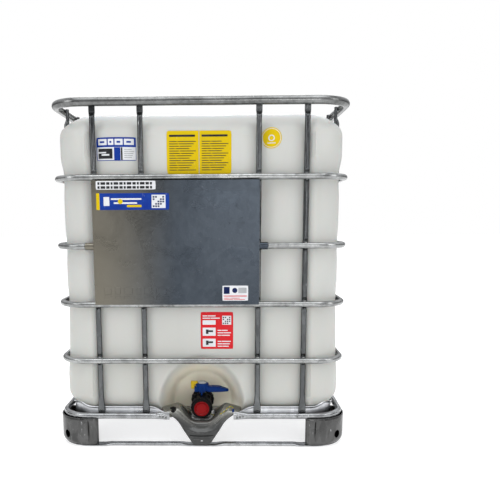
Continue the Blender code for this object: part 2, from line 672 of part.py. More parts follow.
# ---------------------------------------------------------------- earth cable
def smooth_route(points, spacing):
    """Evenly spaced points on a smooth curve through the route's own points."""
    knots = [Vector(p) for p in points]
    knots = [knots[0] * 2 - knots[1]] + knots + [knots[-1] * 2 - knots[-2]]
    fine = []
    for a, b, c, d in zip(knots, knots[1:], knots[2:], knots[3:]):
        for i in range(20):
            t = i / 20
            fine.append(0.5 * (2 * b + (c - a) * t + (2 * a - 5 * b + 4 * c - d) * t * t
                               + (3 * b - a - 3 * c + d) * t * t * t))
    fine.append(knots[-2])
    total = sum((q - p).length for p, q in zip(fine, fine[1:]))
    count = max(2, round(total / spacing))
    route = [fine[0]]
    walked = 0.0
    for p, q in zip(fine, fine[1:]):
        step = (q - p).length
        while len(route) < count and walked + step >= total * len(route) / count:
            share = (total * len(route) / count - walked) / step
            route.append(p.lerp(q, share))
        walked += step
    route.append(fine[-1])
    return route


def make_earth_cable():
    tube("earth_cable", smooth_route(CABLE_POINTS, 3 * 2 * CABLE_RADIUS), CABLE_RADIUS, CABLE)
    end = Vector(CABLE_POINTS[-1])
    block("earth_lug", (0.0060, 0.0050, 0.0180), BLUE, (end.x, end.y, end.z - 0.0108), bevel=0.001)


make_pan()
make_pallet_rail()
make_skid()
make_feet()
make_trough()
make_posts()
make_rings()
make_top_rail()
make_top_bars()
make_label_plate()
make_tank()
make_lid()
make_union_nut()
make_valve_body()
make_valve_closure()
make_outlet_cap()
make_earth_cable()
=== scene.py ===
"""Looks of a composite intermediate bulk container: blown tank, tube cage, steel pallet and outlet valve."""
import math

import bmesh
import bpy
from mathutils import Matrix, Vector, noise as field


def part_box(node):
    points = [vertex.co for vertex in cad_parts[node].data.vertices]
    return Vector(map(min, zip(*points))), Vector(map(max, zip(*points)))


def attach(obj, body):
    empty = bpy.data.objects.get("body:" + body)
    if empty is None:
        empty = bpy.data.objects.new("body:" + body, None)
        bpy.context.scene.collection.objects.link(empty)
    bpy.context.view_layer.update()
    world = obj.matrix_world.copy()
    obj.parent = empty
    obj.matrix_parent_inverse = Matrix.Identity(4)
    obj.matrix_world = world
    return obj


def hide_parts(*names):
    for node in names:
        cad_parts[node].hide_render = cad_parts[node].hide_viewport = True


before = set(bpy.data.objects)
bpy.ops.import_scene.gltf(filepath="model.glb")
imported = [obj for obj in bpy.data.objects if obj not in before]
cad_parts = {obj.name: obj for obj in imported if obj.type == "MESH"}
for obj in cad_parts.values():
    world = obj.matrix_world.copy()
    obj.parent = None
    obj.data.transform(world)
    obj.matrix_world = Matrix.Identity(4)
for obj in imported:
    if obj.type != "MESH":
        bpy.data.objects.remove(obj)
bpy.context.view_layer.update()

scene = bpy.context.scene

# ---------------------------------------------------------------- measures, in metres
RING_HALF = (0.482, 0.582)
RING_CORNER = 0.095
RING_RADIUS = 0.010
TOP_HALF = (0.480, 0.580)
TOP_CORNER = 0.100
TOP_RADIUS = 0.014
RAIL_HALF = (0.4845, 0.5845)
RAIL_CORNER = 0.095
RAIL_RADIUS = 0.0105
RAIL_MOUTH = 0.113
SKID_HALF = (0.4745, 0.5745)
SKID_CORNER = 0.090
POST_HALF = (0.466, 0.566)
POST_RADIUS = 0.009
FRONT_POSTS = (-0.347, -0.192, 0.192, 0.347)
REAR_POSTS = (-0.347, -0.116, 0.116, 0.347)
SIDE_POSTS = (-0.410, -0.246, -0.082, 0.082, 0.246, 0.410)
TANK_HALF = (0.4535, 0.5535)
TANK_CORNER = 0.100
TANK_ROLL = 0.075             # radius of the upper and lower edges
TANK_SWELL = 0.0125           # how far the walls stand out between the posts
RECESS_WALL = (0.150, 0.185)  # half width and height of the recess at the wall, and at its back
RECESS_BACK = (0.105, 0.105)
RECESS_DEPTH = 0.1285
NECK_RADIUS = 0.0815
SPIGOT_Y = -0.4520            # front end of the tank's outlet
PAN_HALF = (0.4612, 0.5612)
PAN_CORNER = 0.105
TROUGH_EDGE = 0.112           # where the pan's front wall ends beside the trough
BAR_REACH = 0.170
BAR_SEAT = 1.1498             # lowest place for a bar on the top rail
BAR_ENDS = (1.1504, 1.1534)   # under and upper side of a bar's flat ends
LID_DISC = (1.1383, 1.1473)   # under and upper side of the lid's disc
HANDLE_RAISE = 0.0022         # the finished handle stands this much higher than the plain one
WELD = 0.00002                # points nearer than this become one


def middle(node):
    """Centre of a CAD node's box."""
    low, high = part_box(node)
    return (Vector(low) + Vector(high)) / 2


RING_HEIGHTS = [middle(name).z for name in ("ring_bottom", "ring_lower", "ring_middle", "ring_upper")]
TOP_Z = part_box("top_rail")[0][2] + TOP_RADIUS
RAIL_Z = middle("pallet_rail").z
TANK_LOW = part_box("tank")[0][2]
TANK_HIGH = 1.118
NECK_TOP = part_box("tank")[1][2]
VALVE_Z = middle("outlet_cap").z
STEM_Y = middle("handle_cap").y
PLATE_LOW, PLATE_HIGH = Vector(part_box("label_plate")[0]), Vector(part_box("label_plate")[1])
PLATE_FACE = -0.5940


# ---------------------------------------------------------------- camera and cord
def place_camera(location, pitch, yaw, roll, lens, shift):
    pitch, yaw, roll = math.radians(pitch), math.radians(yaw), math.radians(roll)
    ahead = Vector((math.sin(yaw) * math.cos(pitch), math.cos(yaw) * math.cos(pitch), -math.sin(pitch)))
    level = ahead.cross(Vector((0, 0, 1))).normalized()
    upright = level.cross(ahead)
    right = level * math.cos(roll) + upright * math.sin(roll)
    up = right.cross(ahead)
    camera = bpy.data.objects.new("camera", bpy.data.cameras.new("camera"))
    camera.matrix_world = Matrix.Translation(location) @ Matrix((right, up, -ahead)).transposed().to_4x4()
    camera.data.lens = lens
    camera.data.sensor_width = 36.0
    camera.data.shift_x, camera.data.shift_y = shift
    scene.collection.objects.link(camera)
    scene.camera = camera


place_camera((0.0754, -2.6590, 0.7682), 9.577, -1.283, -0.305, 45.11, (0.0812, 0.1545))

CABLE_RADIUS = 0.00175
CABLE_POINTS = (
    (0.0242, -0.5285, 0.1040), (0.0275, -0.5300, 0.1015), (0.0330, -0.5350, 0.0992),
    (0.0370, -0.5393, 0.0989), (0.0410, -0.5440, 0.0988), (0.0455, -0.5512, 0.0999),
    (0.0500, -0.5580, 0.1015), (0.0540, -0.5624, 0.1037), (0.0580, -0.5660, 0.1062),
    (0.0660, -0.5700, 0.1115), (0.0740, -0.5705, 0.1170), (0.0820, -0.5700, 0.1245),
    (0.0900, -0.5695, 0.1325), (0.0980, -0.5690, 0.1375), (0.1050, -0.5680, 0.1365),
    (0.1090, -0.5670, 0.1310),
)


# ---------------------------------------------------------------- finishes
class Finish:
    """A principled material whose colour, roughness and relief come from object-space patterns."""

    def __init__(self, name, roughness=0.5, **settings):
        self.material = bpy.data.materials.new(name)
        self.material.use_nodes = True
        self.tree = self.material.node_tree
        self.shader = self.tree.nodes["Principled BSDF"]
        self.shader.inputs["Roughness"].default_value = roughness
        for socket, value in settings.items():
            self.shader.inputs[socket.replace("_", " ")].default_value = value
        self.relief_out = None

    def node(self, kind, **settings):
        node = self.tree.nodes.new(kind)
        for key, value in settings.items():
            setattr(node, key, value)
        return node

    def link(self, source, target):
        self.tree.links.new(source, target)

    def place(self, stretch=(1, 1, 1), source="Object"):
        mapping = self.node("ShaderNodeMapping")
        mapping.inputs["Scale"].default_value = stretch
        self.link(self.node("ShaderNodeTexCoord").outputs[source], mapping.inputs["Vector"])
        return mapping.outputs["Vector"]

    def noise(self, scale, detail=4.0, stretch=(1, 1, 1), twist=0.0):
        node = self.node("ShaderNodeTexNoise")
        node.inputs["Scale"].default_value = scale
        node.inputs["Detail"].default_value = detail
        node.inputs["Distortion"].default_value = twist
        self.link(self.place(stretch), node.inputs["Vector"])
        return node.outputs["Fac"]

    def crystals(self, scale, stretch=(1, 1, 1)):
        node = self.node("ShaderNodeTexVoronoi")
        node.inputs["Scale"].default_value = scale
        self.link(self.place(stretch), node.inputs["Vector"])
        grey = self.node("ShaderNodeRGBToBW")
        self.link(node.outputs["Color"], grey.inputs["Color"])
        return grey.outputs["Val"]

    def edges(self):
        return self.node("ShaderNodeNewGeometry").outputs["Pointiness"]

    def axes(self):
        """X, Y and Z of the place."""
        split = self.node("ShaderNodeSeparateXYZ")
        self.link(self.place(), split.inputs["Vector"])
        return split.outputs

    def spread(self, source, low, high, start=0.0, end=1.0):
        node = self.node("ShaderNodeMapRange", interpolation_type="SMOOTHSTEP")
        self.link(source, node.inputs["Value"])
        for socket, value in (("From Min", start), ("From Max", end), ("To Min", low), ("To Max", high)):
            node.inputs[socket].default_value = value
        return node.outputs["Result"]

    def maths(self, first, second, operation="ADD"):
        node = self.node("ShaderNodeMath", operation=operation)
        self.link(first, node.inputs[0])
        if isinstance(second, (int, float)):
            node.inputs[1].default_value = second
        else:
            self.link(second, node.inputs[1])
        return node.outputs["Value"]

    def ramp(self, source, *stops):
        node = self.node("ShaderNodeValToRGB")
        band = node.color_ramp
        while len(band.elements) < len(stops):
            band.elements.new(0.5)
        for element, (position, colour) in zip(band.elements, stops):
            element.position = position
            element.color = (*colour, 1.0)
        self.link(source, node.inputs["Fac"])
        return node.outputs["Color"]

    def blend(self, amount, under, over):
        node = self.node("ShaderNodeMix", data_type="RGBA", blend_type="MIX")
        self.link(amount, node.inputs[0])
        for value, socket in ((under, node.inputs[6]), (over, node.inputs[7])):
            if isinstance(value, tuple):
                socket.default_value = (*value, 1.0)
            else:
                self.link(value, socket)
        return node.outputs[2]

    def colour(self, source):
        self.link(source, self.shader.inputs["Base Color"])

    def gloss(self, source):
        self.link(source, self.shader.inputs["Roughness"])

    def relief(self, source, depth):
        node = self.node("ShaderNodeBump")
        node.inputs["Strength"].default_value = 1.0
        node.inputs["Distance"].default_value = depth
        self.link(source, node.inputs["Height"])
        if self.relief_out is not None:
            self.link(self.relief_out, node.inputs["Normal"])
        self.relief_out = node.outputs["Normal"]
        self.link(self.relief_out, self.shader.inputs["Normal"])


def zinc(name, dark, light, spangle, rough, stretch=(1, 1, 1), grime=0.5, rub=0.7, fade=None, metal=1.0):
    """Hot-dip zinc: faint crystals, cloudy patches, drag marks, dull grime and bright rubbed spots.

    fade is (axis, start, stop, painted_tone): painted light and shade along one axis; the tone is full before
    start and gone after stop."""
    finish = Finish(name, Metallic=metal)
    clouds = finish.noise(9.0, 6.0, stretch, 0.6)
    cells = finish.crystals(spangle, stretch)
    tone = finish.maths(finish.spread(clouds, 0.0, 0.65, 0.25, 0.78), finish.maths(cells, 0.35, "MULTIPLY"))
    between = tuple((d + l) / 2 for d, l in zip(dark, light))
    body = finish.ramp(tone, (0.05, dark), (0.55, between), (1.0, light))
    smear = finish.spread(finish.noise(38.0, 8.0, stretch, 1.2), 0.0, grime, 0.55, 0.85)
    body = finish.blend(smear, body, (0.055, 0.052, 0.046))
    # Painted light and shade: the fade blends a fixed tone in along one axis, standing in for how light falls on
    # the part.
    if fade is not None:
        axis, start, stop, painted_tone = fade
        body = finish.blend(finish.spread(finish.axes()[axis], 1.0, 0.0, start, stop), body, painted_tone)
    rubbed = finish.spread(finish.noise(120.0, 3.0, stretch), 0.0, rub, 0.66, 0.80)
    finish.colour(finish.blend(rubbed, body, (0.62, 0.63, 0.64)))
    duller = finish.maths(smear, 0.25, "MULTIPLY")
    finish.gloss(finish.maths(finish.spread(clouds, rough[0], rough[1], 0.3, 0.7), duller))
    finish.relief(finish.noise(60.0, 5.0, stretch), 0.00035)
    finish.relief(finish.noise(420.0, 2.0), 0.00010)
    return finish.material


def moulded(name, base, lighter, rough, sheen=0.0, grain=700.0):
    """Injection-moulded plastic: fine grain, soft handling marks and paler rubbed edges."""
    finish = Finish(name, Specular_IOR_Level=0.08, Coat_Weight=sheen, Coat_Roughness=0.08)
    cloud = finish.noise(26.0, 5.0, twist=0.4)
    patchy = tuple(b * 0.72 + l * 0.28 for b, l in zip(base, lighter))
    body = finish.ramp(cloud, (0.30, base), (0.75, patchy))
    worn = finish.spread(finish.edges(), 0.0, 0.55, 0.53, 0.62)
    finish.colour(finish.blend(worn, body, lighter))
    finish.gloss(finish.spread(finish.noise(70.0, 6.0), rough[0], rough[1], 0.3, 0.75))
    finish.relief(finish.noise(grain, 2.0), 0.00006)
    finish.relief(finish.noise(90.0, 3.0), 0.00012)
    return finish.material


def printed(name, ink, faded):
    """Printed film on a label: even ink, a little fading and fine scuffs."""
    finish = Finish(name, Specular_IOR_Level=0.07)
    body = finish.ramp(finish.noise(30.0, 4.0), (0.35, ink), (0.80, faded))
    scuff = finish.spread(finish.noise(240.0, 3.0, (1, 1, 0.3)), 0.0, 0.25, 0.68, 0.80)
    finish.colour(finish.blend(scuff, body, (0.72, 0.72, 0.70)))
    finish.gloss(finish.spread(finish.noise(55.0, 4.0), 0.32, 0.50, 0.3, 0.7))
    finish.relief(finish.noise(160.0, 3.0), 0.00008)
    return finish.material


def tank_finish():
    """Blown polyethylene: milky and cool above, with flow lines and scuffs; painted shade makes it darker and
    warmer towards the bottom, and painted light makes the outlet recess paler and warmer.
    """
    finish = Finish("blown_polyethylene", Specular_IOR_Level=0.35, Subsurface_Weight=0.10,
                    Subsurface_Scale=0.02)
    cloud = finish.noise(2.4, 4.0, (1, 1, 0.8), 0.4)
    milk = finish.ramp(cloud, (0.30, (0.478, 0.480, 0.456)), (0.70, (0.540, 0.545, 0.518)))
    x, y, z = finish.axes()
    # Painted shade: the wall darkens and warms towards the bottom, standing in for the lower tank lying in shade.
    low = finish.spread(z, 0.55, 0.0, 0.10, 0.62)
    milk = finish.blend(low, milk, (0.47, 0.47, 0.435))
    # Painted light: the outlet recess gets a paler, warmer colour that lifts the shade it casts on itself.
    across = finish.spread(x, 0.0, 1.0, -0.19, -0.12)
    other = finish.spread(x, 1.0, 0.0, 0.12, 0.19)
    under = finish.spread(z, 1.0, 0.0, 0.24, 0.33)
    deep = finish.spread(y, 0.0, 1.0, -0.575, -0.47)
    near = finish.spread(y, 1.0, 0.0, -0.40, -0.30)
    recess_painted_light = finish.maths(finish.maths(across, other, "MULTIPLY"), finish.maths(under, deep, "MULTIPLY"),
                         "MULTIPLY")
    milk = finish.blend(finish.maths(recess_painted_light, near, "MULTIPLY"), milk, (0.92, 0.87, 0.73))
    rising = finish.spread(z, 0.0, 0.55, 1.092, 1.108)
    rim = finish.maths(rising, finish.spread(z, 1.0, 0.0, 1.112, 1.117), "MULTIPLY")
    milk = finish.blend(rim, milk, (0.50, 0.52, 0.54))
    streaks = finish.spread(finish.noise(26.0, 5.0, (1, 1, 0.06)), 0.0, 0.10, 0.52, 0.78)
    milk = finish.blend(streaks, milk, (0.56, 0.57, 0.58))
    scuff = finish.spread(finish.noise(60.0, 7.0, (1, 1, 0.5), 1.5), 0.0, 0.20, 0.66, 0.80)
    finish.colour(finish.blend(scuff, milk, (0.50, 0.49, 0.46)))
    finish.gloss(finish.spread(finish.noise(14.0, 6.0), 0.34, 0.52, 0.3, 0.7))
    finish.relief(finish.noise(7.0, 3.0, (1, 1, 0.4)), 0.0022)
    finish.relief(finish.noise(220.0, 3.0), 0.00012)
    return finish.material


def sheath_finish():
    """Earth cable: green sheath with a yellow stripe wound round it."""
    finish = Finish("striped_sheath", Specular_IOR_Level=0.2)
    split = finish.node("ShaderNodeSeparateXYZ")
    finish.link(finish.place(source="UV"), split.inputs["Vector"])
    wound = finish.maths(finish.maths(split.outputs["X"], 75.0, "MULTIPLY"), split.outputs["Y"])
    turn = finish.maths(wound, 1.0, "FRACT")
    stripe = finish.spread(turn, 0.0, 1.0, 0.40, 0.46)
    worn = finish.noise(300.0, 3.0)
    yellow = finish.ramp(worn, (0.3, (0.42, 0.29, 0.020)), (0.8, (0.33, 0.22, 0.025)))
    finish.colour(finish.blend(stripe, yellow, (0.13, 0.17, 0.035)))
    finish.gloss(finish.spread(worn, 0.35, 0.55, 0.3, 0.7))
    finish.relief(finish.noise(900.0, 2.0), 0.00005)
    return finish.material


# Painted shade and light: ZINC_TUBE, ZINC_RING, ZINC_POST, ZINC_RAIL and ZINC_PRESSED are one galvanised steel
# with bases set darker and lighter part by part. The darkest posts, tubes and feet stand in for the dim
# surroundings they mirror.
ZINC_TUBE = zinc("zinc_tube", (0.092, 0.094, 0.092), (0.275, 0.280, 0.278), 95.0, (0.14, 0.27))
ZINC_RING = zinc("zinc_ring", (0.170, 0.174, 0.172), (0.470, 0.480, 0.476), 95.0, (0.14, 0.27))
ZINC_POST = zinc("zinc_post", (0.050, 0.053, 0.055), (0.185, 0.192, 0.196), 95.0, (0.13, 0.25), (1, 1, 0.35))
ZINC_RAIL = zinc("zinc_rail", (0.187, 0.1913, 0.1955), (0.4675, 0.476, 0.4845), 70.0, (0.14, 0.28), grime=0.8)
# Painted shade and light: the plate's very dark base stands in for the dark surroundings it mirrors, and its fade
# paints a lighter left side as a painted sheen.
ZINC_PLATE = zinc("zinc_plate", (0.042, 0.051, 0.063), (0.073, 0.086, 0.103), 60.0, (0.24, 0.36), grime=0.12,
                  rub=0.06, fade=("X", -0.36, -0.06, (0.190, 0.176, 0.143)))
ZINC_PRESSED = zinc("zinc_pressed", (0.050, 0.050, 0.049), (0.160, 0.160, 0.159), 48.0, (0.20, 0.36),
                    (1, 1, 0.4), grime=0.6)
# Painted light: the pan's near-white base is a lit copy of the galvanised steel, standing in for the bright band
# the rim catches from above.
ZINC_PAN = zinc("zinc_pan", (0.48, 0.488, 0.504), (0.93, 0.945, 0.975), 42.0, (0.22, 0.40), (1, 1, 0.5),
                grime=0.35)
# Painted shade: the fade darkens the trough's front face, standing in for the dark ground it mirrors, while the
# wings further back keep the lighter tone.
ZINC_TROUGH = zinc("zinc_trough", (0.170, 0.168, 0.150), (0.300, 0.296, 0.270), 60.0, (0.16, 0.30),
                   grime=0.35,
                   rub=0.25, fade=("Y", -0.588, -0.562, (0.060, 0.061, 0.060)), metal=0.75)
ZINC_BOLT = zinc("zinc_bolt", (0.38, 0.38, 0.36), (0.66, 0.66, 0.62), 240.0, (0.24, 0.36), grime=0.3)
POLYETHYLENE = tank_finish()
BLACK = moulded("black_polymer", (0.0022, 0.0022, 0.0026), (0.010, 0.010, 0.011), (0.30, 0.50))
RED = moulded("red_polymer", (0.165, 0.0005, 0.0016), (0.26, 0.0030, 0.0045), (0.14, 0.24), 0.06)
BLUE = moulded("blue_polymer", (0.0009, 0.0204, 0.1332), (0.008, 0.05525, 0.225), (0.28, 0.44))
YELLOW = moulded("yellow_polymer", (0.62, 0.42, 0.006), (0.78, 0.60, 0.08), (0.32, 0.50))
GREY = moulded("grey_polymer", (0.36, 0.37, 0.38), (0.58, 0.59, 0.60), (0.28, 0.46))
RUBBER = moulded("seal_rubber_finish", (0.016, 0.016, 0.016), (0.05, 0.05, 0.05), (0.60, 0.80), grain=380.0)
SHEATH = sheath_finish()
INK_BLUE = printed("ink_blue", (0.007, 0.030, 0.230), (0.012, 0.050, 0.290))
INK_NAVY = printed("ink_navy", (0.006, 0.012, 0.060), (0.012, 0.022, 0.090))
INK_WHITE = printed("ink_white", (0.68, 0.69, 0.71), (0.60, 0.61, 0.63))
INK_YELLOW = printed("ink_yellow", (0.62, 0.44, 0.004), (0.56, 0.41, 0.008))
INK_RED = printed("ink_red", (0.60, 0.016, 0.022), (0.52, 0.03, 0.035))
INK_BLACK = printed("ink_black", (0.018, 0.018, 0.020), (0.045, 0.045, 0.048))
INK_GREY = printed("ink_grey", (0.34, 0.35, 0.36), (0.42, 0.43, 0.44))


# ---------------------------------------------------------------- ways of making a mesh
def shaded(mesh, sharp):
    """Smooth shading, with edges kept sharp past an angle in degrees."""
    mesh.shade_smooth()
    mesh.set_sharp_from_angle(angle=math.radians(sharp))
    return mesh


def plain_mesh(name, bm):
    mesh = bpy.data.meshes.new(name)
    bm.to_mesh(mesh)
    bm.free()
    return mesh


def mesh_from(name, bm, sharp=38):
    """Welded and shaded mesh with its faces outwards; bm is used up."""
    bmesh.ops.remove_doubles(bm, verts=bm.verts[:], dist=WELD)
    bmesh.ops.recalc_face_normals(bm, faces=bm.faces[:])
    return shaded(plain_mesh(name, bm), sharp)


def add_mesh(bm, mesh):
    """Move a mesh into bm; the mesh is used up."""
    bm.from_mesh(mesh)
    bpy.data.meshes.remove(mesh)


def keep(name, mesh, finish, body, slot, *nodes):
    """Make a finished piece, put it on its body and hide the CAD nodes it stands for."""
    finishes = finish if isinstance(finish, (list, tuple)) else [finish]
    while len(mesh.materials) < len(finishes):
        mesh.materials.append(None)
    for index, material in enumerate(finishes):
        mesh.materials[index] = material
    piece = bpy.data.objects.new(name, mesh)
    scene.collection.objects.link(piece)
    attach(piece, body)
    if nodes:
        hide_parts(*nodes)
    return piece


def evaluated(name, mesh, *modifiers):
    """Mesh after modifiers, each given as a kind and its settings."""
    item = bpy.data.objects.new(name, mesh)
    scene.collection.objects.link(item)
    for kind, settings in modifiers:
        step = item.modifiers.new(kind.lower(), kind)
        for key, value in settings.items():
            setattr(step, key, value)
    depsgraph = bpy.context.evaluated_depsgraph_get()
    result = bpy.data.meshes.new_from_object(item.evaluated_get(depsgraph))
    bpy.data.objects.remove(item, do_unlink=True)
    result.name = name
    return result


def sheet_metal(name, mesh, thickness, offset=-1.0):
    """Sheet with a thickness: grown inwards at offset -1, to both sides at 0."""
    return evaluated(name, mesh, ("SOLIDIFY", {"thickness": thickness, "offset": offset}))


def block(size, centre, bevel, segments=3):
    """Box with rounded edges."""
    bm = bmesh.new()
    bmesh.ops.create_cube(bm, size=1.0)
    bmesh.ops.scale(bm, vec=size, verts=bm.verts[:])
    bmesh.ops.translate(bm, vec=centre, verts=bm.verts[:])
    return evaluated("block", mesh_from("block", bm), ("BEVEL", {"width": bevel, "segments": segments}))


def skin(bm, lower, upper):
    """Faces between two closed rows of the same length."""
    for i in range(len(lower)):
        j = (i + 1) % len(lower)
        bm.faces.new((lower[i], lower[j], upper[j], upper[i]))


def loft(bm, rings, cap_first=True):
    """Closed body over rings of points that all have the same length."""
    levels = [[bm.verts.new(point) for point in ring] for ring in rings]
    for lower, upper in zip(levels, levels[1:]):
        skin(bm, lower, upper)
    if cap_first:
        bm.faces.new(levels[0][::-1])
    bm.faces.new(levels[-1])


def turned(bm, profile, centre, along_y=False, steps=48, closed=True):
    """Turn (radius, height) points about an axis; heights count towards the front when along Y."""
    rows = []
    for radius, rise in profile:
        row = []
        for i in range(steps):
            a = math.tau * i / steps
            flat = (radius * math.cos(a), radius * math.sin(a))
            offset = (flat[0], -rise, flat[1]) if along_y else (flat[0], flat[1], rise)
            row.append(bm.verts.new(Vector(centre) + Vector(offset)))
            if radius == 0:
                break
        rows.append(row)
    pairs = list(zip(rows, rows[1:])) + ([(rows[-1], rows[0])] if closed else [])
    for lower, upper in pairs:
        if len(lower) == len(upper) > 1:
            skin(bm, lower, upper)
        elif len(lower) != len(upper):
            for i in range(steps):
                j = (i + 1) % steps
                corners = (lower[0], upper[j], upper[i]) if len(lower) == 1 else (lower[i], lower[j],
                                                                                  upper[0])
                bm.faces.new(corners)


def rounded_outline(half, corner, steps, z=0.0, spacing=None):
    """Points of a rectangle with round corners, with more along the straights when spacing is given."""
    points = []
    for quadrant in range(4):
        cx = (1, 1, -1, -1)[quadrant] * (half[0] - corner)
        cy = (-1, 1, 1, -1)[quadrant] * (half[1] - corner)
        for step in range(steps + 1):
            a = math.radians(-90 + 90 * quadrant + 90 * step / steps)
            points.append(Vector((cx + corner * math.cos(a), cy + corner * math.sin(a), z)))
    if spacing is None:
        return points
    dense = []
    for p, q in zip(points, points[1:] + points[:1]):
        pieces = max(1, round((q - p).length / spacing)) if (q - p).length > corner * 0.5 else 1
        dense += [p.lerp(q, i / pieces) for i in range(pieces)]
    return dense


def opened(outline, mouth):
    """Outline with a gap of half width mouth in its front, starting and ending at the gap."""
    kept = [p for p in outline if p.y > -0.5 or abs(p.x) > mouth]
    gap = max(range(len(kept)), key=lambda i: (kept[i] - kept[i - 1]).length)
    return kept[gap:] + kept[:gap]


def outward(x, y, half, corner):
    """Distance outside a rounded rectangle, and the outward direction there."""
    px, py = abs(x) - (half[0] - corner), abs(y) - (half[1] - corner)
    if px > 0 and py > 0:
        reach = max(math.hypot(px, py), 1e-9)
        return reach - corner, Vector((math.copysign(px / reach, x), math.copysign(py / reach, y), 0))
    if px > py:
        return px - corner, Vector((math.copysign(1, x), 0, 0))
    return py - corner, Vector((0, math.copysign(1, y), 0))


def smooth(value, start, end):
    """0 before start, 1 after end, and a soft step between them."""
    t = min(1.0, max(0.0, (value - start) / (end - start)))
    return t * t * (3 - 2 * t)


def soft_row(keys, steps):
    """Rows of numbers on a smooth curve through the key rows."""
    rows = []
    padded = [keys[0]] + list(keys) + [keys[-1]]
    for a, b, c, d in zip(padded, padded[1:], padded[2:], padded[3:]):
        for i in range(steps):
            t = i / steps
            rows.append([0.5 * (2 * q + (r - p) * t + (2 * p - 5 * q + 4 * r - s) * t * t
                                + (3 * q - p - 3 * r + s) * t ** 3) for p, q, r, s in zip(a, b, c, d)])
    rows.append(list(keys[-1]))
    return rows


def squarish(half_x, half_y, power, count):
    """Closed section between an ellipse (power 1) and a rectangle (power 0)."""
    section = []
    for k in range(count):
        a = math.tau * k / count
        section.append((half_x * math.copysign(abs(math.cos(a)) ** power, math.cos(a)),
                        half_y * math.copysign(abs(math.sin(a)) ** power, math.sin(a))))
    return section


# ---------------------------------------------------------------- geometry node tools
def start_tree(name, inputs):
    """Tree with named inputs and one result, with its two end nodes."""
    tree = bpy.data.node_groups.new(name, "GeometryNodeTree")
    for label, kind in inputs:
        tree.interface.new_socket(label, in_out="INPUT", socket_type="NodeSocket" + kind)
    tree.interface.new_socket("Result", in_out="OUTPUT", socket_type="NodeSocketGeometry")
    return tree, tree.nodes.new("NodeGroupInput"), tree.nodes.new("NodeGroupOutput")


def end_tree(tree, given, result, last):
    """Every tree ends the same way: real geometry with its finish on it."""
    realise = tree.nodes.new("GeometryNodeRealizeInstances")
    coat = tree.nodes.new("GeometryNodeSetMaterial")
    tree.links.new(last, realise.inputs["Geometry"])
    tree.links.new(realise.outputs["Geometry"], coat.inputs["Geometry"])
    tree.links.new(given.outputs["Finish"], coat.inputs["Material"])
    tree.links.new(coat.outputs["Geometry"], result.inputs["Result"])
    return tree


def make_tube_tree():
    """A round tube of one radius along a path of edges."""
    tree, given, result = start_tree("bent_tube",
                                     (("Path", "Geometry"), ("Radius", "Float"), ("Sides", "Int"),
                                                   ("Finish", "Material")))
    line = tree.nodes.new("GeometryNodeMeshToCurve")
    ring = tree.nodes.new("GeometryNodeCurvePrimitiveCircle")
    sweep = tree.nodes.new("GeometryNodeCurveToMesh")
    sweep.inputs["Fill Caps"].default_value = True
    tree.links.new(given.outputs["Path"], line.inputs["Mesh"])
    tree.links.new(given.outputs["Radius"], ring.inputs["Radius"])
    tree.links.new(given.outputs["Sides"], ring.inputs["Resolution"])
    tree.links.new(line.outputs["Curve"], sweep.inputs["Curve"])
    tree.links.new(ring.outputs["Curve"], sweep.inputs["Profile Curve"])
    return end_tree(tree, given, result, sweep.outputs["Mesh"])


def make_copies_tree():
    """A copy of one part on each point, turned and sized by the point's own values."""
    tree, given, result = start_tree("copies_on_points", (("Points", "Geometry"), ("Part", "Object"),
                                                          ("Finish", "Material")))
    part = tree.nodes.new("GeometryNodeObjectInfo")
    part.inputs["As Instance"].default_value = True
    turn = tree.nodes.new("GeometryNodeInputNamedAttribute")
    turn.data_type = "FLOAT_VECTOR"
    turn.inputs["Name"].default_value = "turn"
    rotation = tree.nodes.new("FunctionNodeEulerToRotation")
    size = tree.nodes.new("GeometryNodeInputNamedAttribute")
    size.data_type = "FLOAT"
    size.inputs["Name"].default_value = "size"
    copies = tree.nodes.new("GeometryNodeInstanceOnPoints")
    tree.links.new(given.outputs["Points"], copies.inputs["Points"])
    tree.links.new(given.outputs["Part"], part.inputs["Object"])
    tree.links.new(part.outputs["Geometry"], copies.inputs["Instance"])
    tree.links.new(turn.outputs["Attribute"], rotation.inputs["Euler"])
    tree.links.new(rotation.outputs["Rotation"], copies.inputs["Rotation"])
    tree.links.new(size.outputs["Attribute"], copies.inputs["Scale"])
    return end_tree(tree, given, result, copies.outputs["Instances"])


TUBE_TREE = make_tube_tree()
COPIES_TREE = make_copies_tree()


def run_tree(name, start, tree, **values):
    """Plain mesh that a tree makes from a start mesh and its named inputs."""
    item = bpy.data.objects.new(name, start)
    scene.collection.objects.link(item)
    step = item.modifiers.new(tree.name, "NODES")
    step.node_group = tree
    for socket in tree.interface.items_tree:
        if socket.item_type == "SOCKET" and socket.in_out == "INPUT" and socket.name in values:
            step[socket.identifier] = values[socket.name]
    depsgraph = bpy.context.evaluated_depsgraph_get()
    mesh = bpy.data.meshes.new_from_object(item.evaluated_get(depsgraph))
    bpy.data.objects.remove(item, do_unlink=True)
    mesh.name = name
    return mesh


def bent_tube(name, points, radius, finish, sides=20, closed=True):
    line = bpy.data.meshes.new(name + "_path")
    edges = [(i, i + 1) for i in range(len(points) - 1)] + ([(len(points) - 1, 0)] if closed else [])
    line.from_pydata([tuple(p) for p in points], edges, [])
    return shaded(run_tree(name, line, TUBE_TREE, Radius=radius, Sides=sides, Finish=finish), 50)


